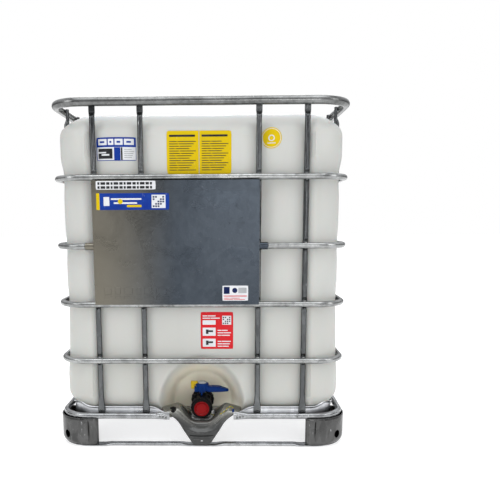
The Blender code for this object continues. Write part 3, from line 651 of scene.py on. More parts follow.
def copies(name, part, finish, places):
    """places holds (point, turn, size); the part's own mesh is used up."""
    points = bpy.data.meshes.new(name + "_points")
    points.from_pydata([tuple(point) for point, _, _ in places], [], [])
    points.attributes.new("turn", "FLOAT_VECTOR", "POINT")
    points.attributes.new("size", "FLOAT", "POINT")
    for i, (_, turn, size) in enumerate(places):
        points.attributes["turn"].data[i].vector = turn
        points.attributes["size"].data[i].value = size
    template = bpy.data.objects.new(name + "_part", part)
    scene.collection.objects.link(template)
    mesh = run_tree(name, points, COPIES_TREE, Part=template, Finish=finish)
    bpy.data.objects.remove(template, do_unlink=True)
    return mesh


def joined(name, *meshes, sharp=38):
    bm = bmesh.new()
    for mesh in meshes:
        add_mesh(bm, mesh)
    return shaded(plain_mesh(name, bm), sharp)


def rib_part(width, proud, length, along=1):
    """Small rounded rib lying along Y (1) or Z (2), standing up from the origin along X."""
    bm = bmesh.new()
    section = [(-0.0006, -width / 2), (proud * 0.6, -width / 2), (proud, -width * 0.22),
               (proud, width * 0.22), (proud * 0.6, width / 2), (-0.0006, width / 2)]
    rings = []
    for reach, shrink in ((-length / 2, 0.3), (-length / 2 + proud, 1.0), (length / 2 - proud, 1.0),
                          (length / 2, 0.3)):
        ring = []
        for out, side in section:
            tall = out * shrink if out > 0 else out
            ring.append((tall, reach, side) if along == 1 else (tall, side, reach))
        rings.append(ring)
    loft(bm, rings)
    return mesh_from("rib", bm)


def ribs_round(name, centre, radius, count, part, finish, along_y=True, start=0.0):
    """Ribs all round a cylinder that lies along Y or stands along Z."""
    places = []
    for i in range(count):
        a = math.tau * i / count + start
        across, over = radius * math.cos(a), radius * math.sin(a)
        point = Vector((across, 0, over)) if along_y else Vector((across, over, 0))
        places.append((Vector(centre) + point, (0, -a, 0) if along_y else (0, 0, a), 1.0))
    return copies(name, part, finish, places)


# ---------------------------------------------------------------- earth cable
def tube_with_uv(name, points, radius, sides=12):
    """Tube whose UV runs in metres along it and in turns round it."""
    bm = bmesh.new()
    uv = bm.loops.layers.uv.new("UVMap")
    points = [Vector(p) for p in points]
    travelled = [0.0]
    for p, q in zip(points, points[1:]):
        travelled.append(travelled[-1] + (q - p).length)
    side = Vector((0, 0, 1))
    rings = []
    for i, point in enumerate(points):
        ahead = (points[min(i + 1, len(points) - 1)] - points[max(i - 1, 0)]).normalized()
        side = (side - ahead * side.dot(ahead)).normalized()
        other = ahead.cross(side)
        rings.append([bm.verts.new(point + radius * (side * math.cos(math.tau * k / sides)
                                                     + other * math.sin(math.tau * k / sides)))
                      for k in range(sides)])
    for i, (lower, upper) in enumerate(zip(rings, rings[1:])):
        for k in range(sides):
            j = (k + 1) % sides
            face = bm.faces.new((lower[k], lower[j], upper[j], upper[k]))
            for loop, (row, turn) in zip(face.loops, ((i, k), (i, k + 1), (i + 1, k + 1), (i + 1, k))):
                loop[uv].uv = (travelled[row], turn / sides)
    bm.faces.new(rings[0][::-1])
    bm.faces.new(rings[-1])
    bmesh.ops.recalc_face_normals(bm, faces=bm.faces[:])
    return shaded(plain_mesh(name, bm), 50), travelled[-1]


def make_cable():
    route = soft_row(CABLE_POINTS, 4)
    mesh, length = tube_with_uv("earth_cable_sheath", route, CABLE_RADIUS)
    cable = keep("earth_cable_sheath", mesh, SHEATH, "container", "cable_sheath", "earth_cable")
    end = middle("earth_lug")
    keys = ((0.0090, 0.0016, 0.0016), (0.0080, 0.0026, 0.0022), (0.0040, 0.0030, 0.0025),
            (-0.0040, 0.0030, 0.0025), (-0.0080, 0.0027, 0.0018), (-0.0090, 0.0022, 0.0012))
    rings = [[end + Vector((x, y, z)) for x, y in squarish(half_x, half_y, 0.6, 16)]
             for z, half_x, half_y in soft_row(keys, 3)]
    bm = bmesh.new()
    loft(bm, rings)
    sleeve = mesh_from("cable_lug_sleeve", bm)
    lug = keep("cable_lug_sleeve", sleeve, BLUE, "container", "blue_plastic", "earth_lug")


make_cable()


# ---------------------------------------------------------------- tank
def swell(x, y, side, z):
    """How far the wall stands out of its plain box: most between the posts and at the corners."""
    posts, along = {"front": (FRONT_POSTS, x), "rear": (REAR_POSTS, x)}.get(side, (SIDE_POSTS, y))
    nearest = min(abs(along - post) for post in posts)
    between = 1 - math.exp(-(nearest / 0.034) ** 2)
    ring = min(abs(z - height) for height in RING_HEIGHTS)
    belt = 0.84 + 0.16 * smooth(ring, 0.010, 0.075)
    last = max(posts)
    return between * belt * end_swell(z, smooth(abs(along), last + 0.012, last + 0.055))


def end_swell(z, share):
    """Swell at a height; share is 1 past the last post, where the wall stands out furthest."""
    fade = smooth(z, TANK_LOW, TANK_LOW + 0.09) * (1 - smooth(z, TANK_HIGH - 0.055, TANK_HIGH))
    ring = min(abs(z - height) for height in RING_HEIGHTS)
    below = 0.0090 * (1 - smooth(z, 0.24, 0.42))
    above = 0.0060 * smooth(z, 0.925, 0.985)
    past = below + above + 0.0030 + 0.0025 * smooth(ring, 0.012, 0.070)
    return fade * (TANK_SWELL + share * past)


def recess_depth(x, z):
    """Depth of the outlet recess behind the front wall."""
    rise = z - VALVE_Z
    reach = math.hypot(x, rise)
    if reach < 1e-6:
        return RECESS_DEPTH
    a = math.atan2(rise, x)
    wall, back = [1 / math.hypot(math.cos(a) / size[0], math.sin(a) / size[1])
                  for size in (RECESS_WALL, RECESS_BACK)]
    t = (wall - reach) / (wall - back)
    straight = min(1.0, max(0.0, t))
    return RECESS_DEPTH * (0.35 * straight + 0.65 * smooth(t, -0.10, 1.10))


def front_wall(x, z):
    """Y of the tank's front wall."""
    return -TANK_HALF[1] - swell(x, 0, "front", z) + max(0.0, recess_depth(x, z))


def tank_stations():
    """Places round the tank as (x, y, outward direction, side), close together across the recess."""
    straight = [TANK_HALF[i] - TANK_CORNER for i in (0, 1)]
    fine = [i * 0.004 for i in range(-44, 45)]
    coarse = [fine[-1] + (straight[0] - fine[-1]) * i / 10 for i in range(1, 11)]
    xs = [-x for x in reversed(coarse)] + fine + coarse
    stations = [(x, -TANK_HALF[1], Vector((0, -1, 0)), "front") for x in xs]

    def corner(sign_x, sign_y, start):
        for step in range(1, 10):
            a = math.radians(start + 9 * step)
            way = Vector((math.cos(a), math.sin(a), 0))
            x = sign_x * straight[0] + TANK_CORNER * way.x
            y = sign_y * straight[1] + TANK_CORNER * way.y
            stations.append((x, y, way, "corner"))

    corner(1, -1, -90)
    ys = [straight[1] * i / 24 for i in range(-24, 25)]
    stations += [(TANK_HALF[0], y, Vector((1, 0, 0)), "side") for y in ys]
    corner(1, 1, 0)
    backs = [straight[0] * i / 20 for i in range(20, -21, -1)]
    stations += [(x, TANK_HALF[1], Vector((0, 1, 0)), "rear") for x in backs]
    corner(-1, 1, 90)
    stations += [(-TANK_HALF[0], y, Vector((-1, 0, 0)), "side") for y in reversed(ys)]
    corner(-1, -1, 180)
    return stations


def tank_levels():
    """Heights up the tank, each with how far its rolled edge stands in there."""
    steps = [math.radians(90 * i / 8) for i in range(9)]
    levels = [(TANK_LOW + TANK_ROLL * (1 - math.cos(a)), TANK_ROLL * (1 - math.sin(a))) for a in steps]
    top_start = TANK_HIGH - TANK_ROLL
    z = levels[-1][0]
    while z < top_start - 0.012:
        z += 0.006 if z < 0.335 else 0.015
        levels.append((z, 0.0))
    return levels + [(top_start + TANK_ROLL * math.sin(a), TANK_ROLL * (1 - math.cos(a))) for a in steps]


def neck_profile():
    """Radius and height from the sunk ring, up the threaded neck and down inside the tank."""
    sunk = [(0.172, 1.1186), (0.160, 1.1165), (0.153, 1.110), (0.146, 1.098), (0.139, 1.0928), (0.128, 1.092),
            (0.095, 1.092), (0.0850, 1.0930), (NECK_RADIUS, 1.0970)]
    thread = []
    for z in (1.1030, 1.1130, 1.1230):
        thread += [(NECK_RADIUS, z), (NECK_RADIUS + 0.0005, z + 0.0015), (NECK_RADIUS, z + 0.0030)]
    mouth = [(NECK_RADIUS, NECK_TOP - 0.001), (NECK_RADIUS - 0.001, NECK_TOP), (0.0760, NECK_TOP),
             (0.0750, NECK_TOP - 0.001)]
    inside = [(0.0750, 1.090), (0.0900, 1.086), (0.140, 1.084), (0.300, 1.080), (0.350, 1.040),
              (0.350, 0.220),
              (0.300, 0.180), (0.100, 0.170)]
    return sunk + thread + mouth + inside


def make_tank():
    stations = tank_stations()
    rings = []
    for z, inset in tank_levels():
        ring = []
        for x, y, way, side in stations:
            reach = swell(x, y, side, z) if side != "corner" else end_swell(z, 1.0)
            px, py = x + way.x * (reach - inset), y + way.y * (reach - inset)
            if side == "front":
                py = max(py, -TANK_HALF[1] - reach + recess_depth(x, z))
            ring.append(Vector((px, py, z)))
        rings.append(ring)
    outer = rings[-1]
    neck = neck_profile()
    directions = [Vector((p.x, p.y, 0)).normalized() for p in outer]
    first = [way * neck[0][0] + Vector((0, 0, neck[0][1])) for way in directions]
    for share in (0.2, 0.4, 0.6, 0.8):
        crown = 0.0012 * math.sin(math.pi * share)
        rings.append([p.lerp(q, share) + Vector((0, 0, crown)) for p, q in zip(outer, first)])
    rings += [[way * radius + Vector((0, 0, z)) for way in directions] for radius, z in neck]
    bm = bmesh.new()
    loft(bm, rings)
    turned(bm, ((0.0235, 0.0), (0.0300, 0.0), (0.0310, -0.001), (0.0310, -0.030), (0.0235, -0.030)),
           (0, SPIGOT_Y, VALVE_Z), along_y=True)
    keep("tank_shell", mesh_from("tank_shell", bm, 60), POLYETHYLENE, "container", "tank_plastic", "tank")


make_tank()


# ---------------------------------------------------------------- cage
def post_profile(z):
    """Half width, outward and inward limits of a post at a height."""
    full = POST_RADIUS
    half, out, inward = full, full, full
    foot = 1 - smooth(z, 0.134, 0.168)
    half += foot * 0.0034
    out -= foot * 0.0046
    inward -= foot * 0.0050
    tip = smooth(z, TOP_Z - 0.050, TOP_Z - 0.027)
    half += tip * (0.0014 - 0.0026 * (1 - tip))
    out -= tip * (full + 0.0004)
    return half, out, inward


def make_post_part():
    """One post standing at the origin, outer side towards +Y, dented where the rings cross it."""
    sides = 16
    low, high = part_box("front_post_1")[0][2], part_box("front_post_1")[1][2]
    heights = {round(low + (high - low) * i / 60, 4) for i in range(61)}
    for ring in RING_HEIGHTS:
        heights |= {round(ring + 0.003 * i, 4) for i in range(-12, 13)}
    heights |= {round(TOP_Z - 0.053 + 0.0015 * i, 4) for i in range(20)}
    rings = []
    for z in sorted(heights):
        half, out, inward = post_profile(z)
        ring = min(RING_HEIGHTS, key=lambda height: abs(height - z))
        away = abs(z - ring)
        above = z > ring
        section = []
        for k in range(sides):
            a = math.tau * (k + 0.5) / sides
            x = half * math.cos(a) * 1.01
            y = max(-inward, min(out, POST_RADIUS * 1.01 * math.sin(a)))
            slope, along = (0.60, 0.10) if above else (1.60, -0.90)
            dent = 0.0018 + max(0.0, away - 0.012) * slope - along * abs(x)
            if above:
                dent += 0.45 * max(0.0, 0.016 - away)
            if away < 0.036 and y > 0:
                y = min(y, max(0.0012, dent))
            section.append((x, y, z))
        rings.append(section)
    bm = bmesh.new()
    loft(bm, rings)
    return mesh_from("post_part", bm, 32)


def post_places():
    """Place and turn of every post, side by side."""
    return {"front": [(x, -POST_HALF[1], math.pi) for x in FRONT_POSTS],
            "rear": [(x, POST_HALF[1], 0.0) for x in REAR_POSTS],
            "left": [(-POST_HALF[0], y, math.pi / 2) for y in SIDE_POSTS],
            "right": [(POST_HALF[0], y, -math.pi / 2) for y in SIDE_POSTS]}


def make_posts():
    for side, places in post_places().items():
        name = side + "_posts"
        mesh = copies(name, make_post_part(), ZINC_POST,
                      [((x, y, 0), (0, 0, turn), 1.0) for x, y, turn in places])
        nodes = ["%s_post_%d" % (side, i) for i in range(1, len(places) + 1)]
        keep(name, joined(name, mesh, sharp=32), ZINC_POST, "container", "galvanised_steel", *nodes)


def make_rings():
    for name, z in zip(("ring_bottom", "ring_lower", "ring_middle", "ring_upper"), RING_HEIGHTS):
        path = rounded_outline(RING_HALF, RING_CORNER, 12, z, 0.02)
        mesh = bent_tube(name + "_tube", path, RING_RADIUS, ZINC_RING, 18)
        for vert in mesh.vertices:
            place = vert.co * 9.0
            vert.co.z += 0.0007 * field.noise(Vector((place.x, place.y, z * 40)))
        keep(name + "_tube", mesh, ZINC_RING, "container", "galvanised_steel", name)


def make_welds():
    """Weld beads above and below each crossing of ring and post."""
    bm = bmesh.new()
    bmesh.ops.create_icosphere(bm, subdivisions=1, radius=0.0034)
    bmesh.ops.scale(bm, vec=(1.7, 0.9, 0.8), verts=bm.verts[:])
    bead = mesh_from("bead", bm)
    places = []
    for x, y, turn in sum(post_places().values(), []):
        way = Vector((-math.sin(turn), math.cos(turn), 0))
        for ring in RING_HEIGHTS:
            for side in (-1, 1):
                point = Vector((x, y, ring + side * 0.0082)) + way * 0.0085
                places.append((point, (0.5 * side, 0, turn), 0.9 + 0.2 * ((len(places) * 7) % 5) / 5))
    mesh = copies("cage_welds", bead, ZINC_BOLT, places)
    mesh.shade_smooth()
    keep("cage_welds", mesh, ZINC_BOLT, "container", "galvanised_steel")


def make_top_rail():
    path = rounded_outline(TOP_HALF, TOP_CORNER, 14, TOP_Z, 0.010)
    mesh = bent_tube("top_rail_tube", path, TOP_RADIUS, ZINC_TUBE, 22)
    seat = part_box("top_bar_front")[0][2]
    seat = max(seat, BAR_SEAT)
    for vert in mesh.vertices:
        if abs(vert.co.x) > TOP_HALF[0] - 0.03:
            near = 1 - smooth(abs(abs(vert.co.y) - BAR_REACH), 0.018, 0.030)
            limit = seat + (1 - near) * 0.02
            vert.co.z = min(vert.co.z, limit)
        vert.co.z += 0.0005 * field.noise(vert.co * 7.0)
        vert.co.z = min(vert.co.z, TOP_Z + TOP_RADIUS)
    keep("top_rail_tube", mesh, ZINC_TUBE, "container", "galvanised_steel", "top_rail")


def make_top_bars():
    flat_low, flat_high = BAR_ENDS
    for name in ("top_bar_front", "top_bar_rear"):
        y = middle(name).y
        keys = ((-0.4930, 0.0110, flat_low, flat_high), (-0.4915, 0.0130, flat_low, flat_high),
                (-0.4600, 0.0130, flat_low, flat_high), (-0.4300, 0.0080, flat_high - 0.016, flat_high),
                (-0.4000, 0.0080, flat_high - 0.016, flat_high))
        half = soft_row(keys, 5)
        stations = half + [[-x, *rest] for x, *rest in reversed(half)]
        rings = []
        for x, half_width, low, high in stations:
            rings.append([(x, y + half_width * math.cos(math.tau * k / 18),
                           (low + high) / 2 + (high - low) / 2 * math.sin(math.tau * k / 18))
                           for k in range(18)])
        bm = bmesh.new()
        loft(bm, rings)
        keep(name + "_tube", mesh_from(name + "_tube", bm, 50), ZINC_TUBE, "container", "galvanised_steel",
             name)


def make_bolts():
    """Hexagon bolts on washers that hold the bars to the top rail."""
    bm = bmesh.new()
    turned(bm, ((0.0, 0.0012), (0.0080, 0.0012), (0.0084, 0.0008), (0.0084, 0.0), (0.0, 0.0)), (0, 0, 0),
           closed=False)
    head = bpy.data.meshes.new("head")
    hexagon = bmesh.new()
    rings = []
    for z, radius in ((0.0010, 0.0066), (0.0046, 0.0066), (0.0054, 0.0058)):
        rings.append([(radius * math.cos(math.tau * k / 6), radius * math.sin(math.tau * k / 6), z)
                      for k in range(6)])
    loft(hexagon, rings)
    turned(hexagon, ((0, 0.0), (0.0040, 0.0), (0.0040, -0.026), (0.0034, -0.027), (0, -0.027)), (0, 0, 0),
           steps=20,
           closed=False)
    bmesh.ops.recalc_face_normals(hexagon, faces=hexagon.faces[:])
    hexagon.to_mesh(head)
    hexagon.free()
    add_mesh(bm, head)
    bolt = mesh_from("bolt", bm, 25)
    nodes = ["bar_bolt_%s_%s" % (side, end) for side in ("left", "right") for end in ("front", "rear")]
    base = min(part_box(node)[1][2] for node in nodes) - 0.0052
    places = [(Vector((middle(node).x, middle(node).y, base)), (0, 0, 0.4 * i), 1.0) for i,
              node in enumerate(nodes)]
    mesh = copies("bar_bolts", bolt, ZINC_BOLT, places)
    keep("bar_bolts", joined("bar_bolts", mesh, sharp=25), ZINC_BOLT, "container", "bolt_steel", *nodes)


make_posts()
make_rings()
make_welds()
make_top_rail()
make_top_bars()
make_bolts()


# ---------------------------------------------------------------- pallet
def pan_rim(x, y):
    """Height of the pan's rim: raised at the corners, run down beside the outlet trough."""
    corner = smooth(abs(x), 0.385, 0.445) * smooth(abs(y), 0.485, 0.545)
    rim = 0.1350 + 0.0165 * corner
    if y < -0.5:
        rim -= 0.026 * (1 - smooth(abs(x), TROUGH_EDGE, 0.175))
    return rim


def make_pan():
    outline = opened(rounded_outline(PAN_HALF, PAN_CORNER, 14, 0.0, 0.012), TROUGH_EDGE)
    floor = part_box("floor_pan")[0][2]
    bm = bmesh.new()
    rows = []
    for p in outline:
        _, way = outward(p.x, p.y, PAN_HALF, PAN_CORNER)
        rim = pan_rim(p.x, p.y)
        tall = rim - floor
        profile = ((0.010, 0.0), (0.003, 0.002), (0.0, 0.008), (0.0, 0.40 * tall), (0.0008, 0.60 * tall),
                   (0.0020, 0.80 * tall), (0.0022, 0.90 * tall), (0.0004, 0.96 * tall),
                   (-0.0022, 0.99 * tall),
                   (-0.0036, tall), (-0.0030, tall + 0.0012), (0.0005, tall - 0.0005))
        rows.append([bm.verts.new((p.x - way.x * inset, p.y - way.y * inset, floor + rise)) for inset,
                     rise in profile])
    for near, far in zip(rows, rows[1:]):
        for i in range(len(near) - 1):
            bm.faces.new((near[i], far[i], far[i + 1], near[i + 1]))
    bottom = [row[0] for row in rows]
    mouth = [bm.verts.new((x, y, floor)) for x, y in ((-TROUGH_EDGE, -0.4200), (TROUGH_EDGE, -0.4200))]
    bm.faces.new(bottom + mouth)
    bmesh.ops.triangulate(bm, faces=[face for face in bm.faces if len(face.verts) > 4])
    mesh = mesh_from("pan_sheet", bm, 45)
    mesh = sheet_metal("pan_sheet", mesh, 0.0018, 0.0)
    keep("pan_sheet", mesh, ZINC_PAN, "container", "pressed_steel", "floor_pan")


def make_pallet_rail():
    loop = opened(rounded_outline(RAIL_HALF, RAIL_CORNER, 14, RAIL_Z, 0.010), RAIL_MOUTH - 0.008)
    mesh = bent_tube("pallet_rail_tube", loop, RAIL_RADIUS, ZINC_RAIL, 20, closed=False)
    for vert in mesh.vertices:
        x, y, z = vert.co
        off, way = outward(x, y, RAIL_HALF, RAIL_CORNER)
        turn = smooth(abs(x), 0.418, 0.450) * smooth(abs(y), 0.518, 0.550)
        end = (1 - smooth(abs(x), 0.118, 0.165)) if y < -0.5 else 0.0
        pressed = off * (0.45 * end)
        crease = turn * 0.0050 * math.exp(-((z - RAIL_Z) / 0.004) ** 2) if off > 0 else 0.0
        vert.co -= way * (pressed + crease)
        vert.co.z += (z - RAIL_Z) * (0.10 * turn + 0.30 * end)
        vert.co += way * 0.0008 * field.noise(Vector((x * 14, y * 14, 3.0)))
        vert.co.z += 0.0010 * field.noise(Vector((x * 11, y * 11, 7.0)))
    keep("pallet_rail_tube", mesh, ZINC_RAIL, "container", "galvanised_steel", "pallet_rail")


def make_skid():
    """Flattened tube on the floor, fuller where nothing stands on it."""
    path = rounded_outline(SKID_HALF, SKID_CORNER, 12, 0.010, 0.010)
    mesh = bent_tube("skid_tube", path, 0.010, ZINC_RAIL, 18)
    for vert in mesh.vertices:
        x, y, z = vert.co
        off, way = outward(x, y, SKID_HALF, SKID_CORNER)
        along = abs(x) if abs(y) > 0.54 else abs(y)
        front = y < -0.54
        blocks = ((0.342, 0.60), (-1, 0.044)) if front else ((0.342, 0.60), (-1, 0.090))
        if abs(y) <= 0.54:
            blocks = ((0.430, 0.60), (-1, 0.085))
        full = 1.0
        for low, high in blocks:
            full = min(full, max(smooth(along, high, high + 0.03), 1 - smooth(along, low - 0.03, low)))
        half_height = 0.0040 + 0.0022 * full
        half_width = 0.0195 - 0.0045 * full
        vert.co += way * off * (half_width / 0.010 - 1)
        vert.co.z = half_height + (z - 0.010) * half_height / 0.010
        ripple = 0.0006 * full * field.noise(Vector((x * 16, y * 16, 1.0)))
        vert.co.z = max(0.0, vert.co.z + ripple * (vert.co.z > half_height))
    keep("skid_tube", mesh, ZINC_RAIL, "container", "galvanised_steel", "base_ring")


def foot_outline(inner_x, inner_y, outer_x, outer_y, corner, z):
    small = 0.018
    arcs = []
    for x, y, radius, start in ((outer_x, inner_y, small, -90), (outer_x, outer_y, corner, 0),
                                (inner_x, outer_y, small, 90), (inner_x, inner_y, small, 180)):
        cx = x - radius if x == outer_x else x + radius
        cy = y - radius if y == outer_y else y + radius
        steps = 14 if radius > 0.03 else 6
        arcs.append([Vector((cx + radius * math.cos(math.radians(start + 90 * k / steps)),
                             cy + radius * math.sin(math.radians(start + 90 * k / steps)), z))
                     for k in range(steps + 1)])
    dense = []
    for arc, following in zip(arcs, arcs[1:] + arcs[:1]):
        dense += arc + [arc[-1].lerp(following[0], k / 16) for k in range(1, 16)]
    return dense


def foot_mesh(name, limits, corner, signs, flutes, turned_round=False, hole=False):
    """Pressed cup with a rolled lip, flutes that widen downwards and a well rounded lower edge."""
    inner_x, inner_y, outer_x, outer_y = limits
    base, top = 0.0040, 0.1030
    keys = [(top - 0.0015, -0.0002), (top, 0.0010), (top - 0.0002, 0.0030), (top - 0.0030, 0.0034),
            (top - 0.0060, 0.0022), (top - 0.0100, 0.0020)]
    keys += [(top - 0.010 - 0.0062 * i, 0.0020) for i in range(1, 9)]
    keys += [(base + 0.024 - 0.024 * math.sin(math.radians(a)),
              0.0020 + 0.016 * (1 - math.cos(math.radians(a))))
             for a in range(0, 91, 10)]
    rings = []
    for z, inset in keys:
        low = smooth(base + 0.030 - z, 0.0, 0.022)
        reach = [outer_x - inset, outer_y - (inset if corner > 0.03 else min(inset, 0.0034))]
        ring = []
        for p in foot_outline(inner_x + 0.002, inner_y + 0.002, reach[0], reach[1], corner, z):
            for axis, place, wide_top, wide_low, depth in flutes:
                along = p.x if axis == "x" else p.y
                wall = (p.y - reach[1]) if axis == "x" else (p.x - reach[0])
                width = wide_top + (wide_low - wide_top) * (top - z) / (top - base)
                if abs(wall) < 0.006 and abs(along - place) < width:
                    press = depth * (0.5 + 0.5 * math.cos(math.pi * (along - place) / width)) * (1 - low)
                    press *= smooth(top - z, 0.004, 0.016)
                    if axis == "x":
                        p.y -= press
                    else:
                        p.x -= press
            if corner > 0.03:
                p.x += 0.26 * (outer_y - p.y) * (outer_x - p.x) / (outer_x - inner_x)
            point = Vector((-p.y, p.x, p.z)) if turned_round else Vector((signs[0] * p.x, signs[1] * p.y,
                                                                          p.z))
            ring.append(point)
        rings.append(ring)
    bm = bmesh.new()
    loft(bm, rings, cap_first=False)
    mesh = sheet_metal(name, mesh_from(name, bm, 60), 0.0018)
    if hole:
        punch = bmesh.new()
        turn = Matrix.Translation((signs[0] * (outer_x - 0.025), signs[1] * (outer_y - 0.025), 0.040))
        turn @= Matrix.Rotation(math.atan2(signs[1], signs[0]), 4, "Z") @ Matrix.Rotation(math.pi / 2, 4, "Y")
        bmesh.ops.create_cone(punch, cap_ends=True, segments=28, radius1=0.014, radius2=0.014, depth=0.060,
                              matrix=turn)
        cutter = bpy.data.objects.new("punch", mesh_from("punch", punch))
        scene.collection.objects.link(cutter)
        mesh = evaluated(name, mesh, ("BOOLEAN",
                                      {"object": cutter, "solver": "EXACT", "operation": "DIFFERENCE"}))
        bpy.data.objects.remove(cutter, do_unlink=True)
    mesh.shade_smooth()
    mesh.set_sharp_from_angle(angle=math.radians(42))
    return mesh


def make_feet():
    corner_flutes = (("x", 0.392, 0.007, 0.015, 0.0075), ("y", 0.492, 0.007, 0.015, 0.0075))
    for end, sign_y in (("front", -1), ("rear", 1)):
        for side, sign_x in (("left", -1), ("right", 1)):
            name = "corner_foot_%s_%s" % (end, side)
            mesh = foot_mesh(name + "_shell", (0.352, 0.440, 0.500, 0.600), RAIL_CORNER + 0.010,
                             (sign_x, sign_y), corner_flutes,
                             hole=True)
            keep(name + "_shell", mesh, ZINC_PRESSED, "container", "pressed_steel", name)
    for side, sign_x in (("left", -1), ("right", 1)):
        name = "side_foot_" + side
        mesh = foot_mesh(name + "_shell", (0.400, -0.075, 0.500, 0.075), 0.020, (sign_x, 1),
                         (("y", 0.0, 0.010, 0.018, 0.0050),))
        keep(name + "_shell", mesh, ZINC_PRESSED, "container", "pressed_steel", name)
    mesh = foot_mesh("rear_foot_shell", (0.500, -0.080, 0.600, 0.080), 0.020, (1, 1),
                     (("y", -0.030, 0.009, 0.016, 0.0050), ("y", 0.030, 0.009, 0.016, 0.0050)),
                     turned_round=True)
    keep("rear_foot_shell", mesh, ZINC_PRESSED, "container", "pressed_steel", "rear_foot")


def make_trough():
    """V-shaped front foot with pressed beads, whose top runs back under the valve between two wings."""
    keys = ((-0.5935, 0.0084, 0.0300, 0.0), (-0.5930, 0.0180, 0.0350, 0.0), (-0.5925, 0.0350, 0.0460, 0.0),
            (-0.5905, 0.0560, 0.0610, 0.002), (-0.5855, 0.0745, 0.0800, 0.012),
            (-0.5730, 0.0850, 0.1120, 0.028),
            (-0.5580, 0.0850, 0.1340, 0.044), (-0.5350, 0.0810, 0.1380, 0.058),
            (-0.5100, 0.0810, 0.1250, 0.052),
            (-0.4800, 0.0812, 0.1080, 0.042), (-0.4490, 0.0820, 0.0920, 0.028))
    columns = 56
    bm = bmesh.new()
    grid = []
    for y, z, half, wing in soft_row(keys, 6):
        line = []
        for i in range(columns + 1):
            x = half * (-1 + 2 * i / columns)
            climb = smooth(abs(x), 0.018, 0.086)
            droop = 5.0 * max(0.0, abs(x) - 0.088)
            height = z + wing * (climb - droop)
            front = 1 - smooth(y, -0.588, -0.560)
            line_low = height - (0.034 + 2.0 * x * x)
            line_high = height - (0.064 + 8.0 * x * x)
            bead = height - (0.050 + 4.0 * x * x)
            press = (0.0070 * math.exp(-(line_high / 0.0075) ** 2)
                     + 0.0060 * math.exp(-(line_low / 0.0050) ** 2))
            press -= 0.0052 * math.exp(-(bead / 0.0066) ** 2)
            edge = smooth(abs(x), half - 0.010, half - 0.003)
            press = press * (1 - edge) * front + 0.0015 * edge * front
            line.append(bm.verts.new((x, y + press, height)))
        grid.append(line)
    for near, far in zip(grid, grid[1:]):
        for i in range(columns):
            if abs(near[i].co.x) < 0.0036 and 0.018 < near[i].co.z < 0.0225:
                continue
            bm.faces.new((near[i], near[i + 1], far[i + 1], far[i]))
    mesh = mesh_from("trough_sheet", bm, 70)
    mesh = sheet_metal("trough_sheet", mesh, 0.0018, 0.0)
    mesh = evaluated("trough_sheet", mesh,
                     ("BEVEL", {"width": 0.0004, "segments": 1, "limit_method": "ANGLE"}))
    mesh.shade_smooth()
    mesh.set_sharp_from_angle(angle=math.radians(60))
    keep("trough_sheet", mesh, ZINC_TROUGH, "container", "pressed_steel", "valve_trough")
    clip = middle("wing_clip")
    sizes = (((0.020, 0.008, 0.007), 0.0035), ((0.008, 0.010, 0.020), -0.001),
             ((0.014, 0.006, 0.005), -0.0085))
    rounded = [block(size, clip + Vector((0, 0, rise)), 0.0014) for size, rise in sizes]
    keep("wing_clip_body", joined("wing_clip_body", *rounded), BLACK, "container", "black_plastic",
         "wing_clip")


def make_rail_welds():
    """Spots and short beads where rail, posts, feet and trough meet."""
    bm = bmesh.new()
    bmesh.ops.create_icosphere(bm, subdivisions=2, radius=0.0042)
    bmesh.ops.scale(bm, vec=(1.3, 0.5, 0.9), verts=bm.verts[:])
    places = []
    for x, y, turn in sum(post_places().values(), []):
        way = Vector((-math.sin(turn), math.cos(turn), 0))
        places.append((Vector((x, y, 0.127)) + way * 0.0042, (0, 0, turn), 0.85))
    for sign in (-1, 1):
        for step in range(3):
            places.append((Vector((sign * (0.122 + 0.010 * step), -0.5955, 0.103 + 0.003 * step)),
                           (0, 0, 0), 0.8))
    mesh = copies("pallet_welds", mesh_from("spot", bm), ZINC_TUBE, places)
    mesh.shade_smooth()
    keep("pallet_welds", mesh, ZINC_TUBE, "container", "galvanised_steel")


make_pan()
make_pallet_rail()
make_skid()
make_feet()
make_trough()
make_rail_welds()


# ---------------------------------------------------------------- label plate and labels
def plate_wave(x, z):
    return PLATE_FACE + 0.0004 * math.sin(9 * x + 5 * z) * math.cos(6 * z - 3 * x)


def raised(bm, outline, surface, height, slope):
    """Flat shape standing up from a surface with sloped sides; outline is (x, z) seen from the front."""
    centre = [sum(p[i] for p in outline) / len(outline) for i in (0, 1)]
    foot = [bm.verts.new((x, surface(x, z) + 0.0003, z)) for x, z in outline]
    crest = []
    for x, z in outline:
        away = max(1e-6, math.hypot(x - centre[0], z - centre[1]))
        shrink = 1 - slope / away
        px, pz = centre[0] + (x - centre[0]) * shrink, centre[1] + (z - centre[1]) * shrink
        crest.append(bm.verts.new((px, surface(px, pz) - height, pz)))
    bm.faces.new(crest)
    bm.faces.new(foot[::-1])
    for i in range(len(outline)):
        j = (i + 1) % len(outline)
        bm.faces.new((foot[i], foot[j], crest[j], crest[i]))


def rounded_box(x0, z0, x1, z1, radius, steps=4):
    points = []
    for quadrant, (cx, cz) in enumerate(((x1 - radius, z0 + radius), (x1 - radius, z1 - radius),
                                         (x0 + radius, z1 - radius), (x0 + radius, z0 + radius))):
        for k in range(steps + 1):
            a = math.radians(-90 + 90 * quadrant + 90 * k / steps)
            points.append((cx + radius * math.cos(a), cz + radius * math.sin(a)))
    return points


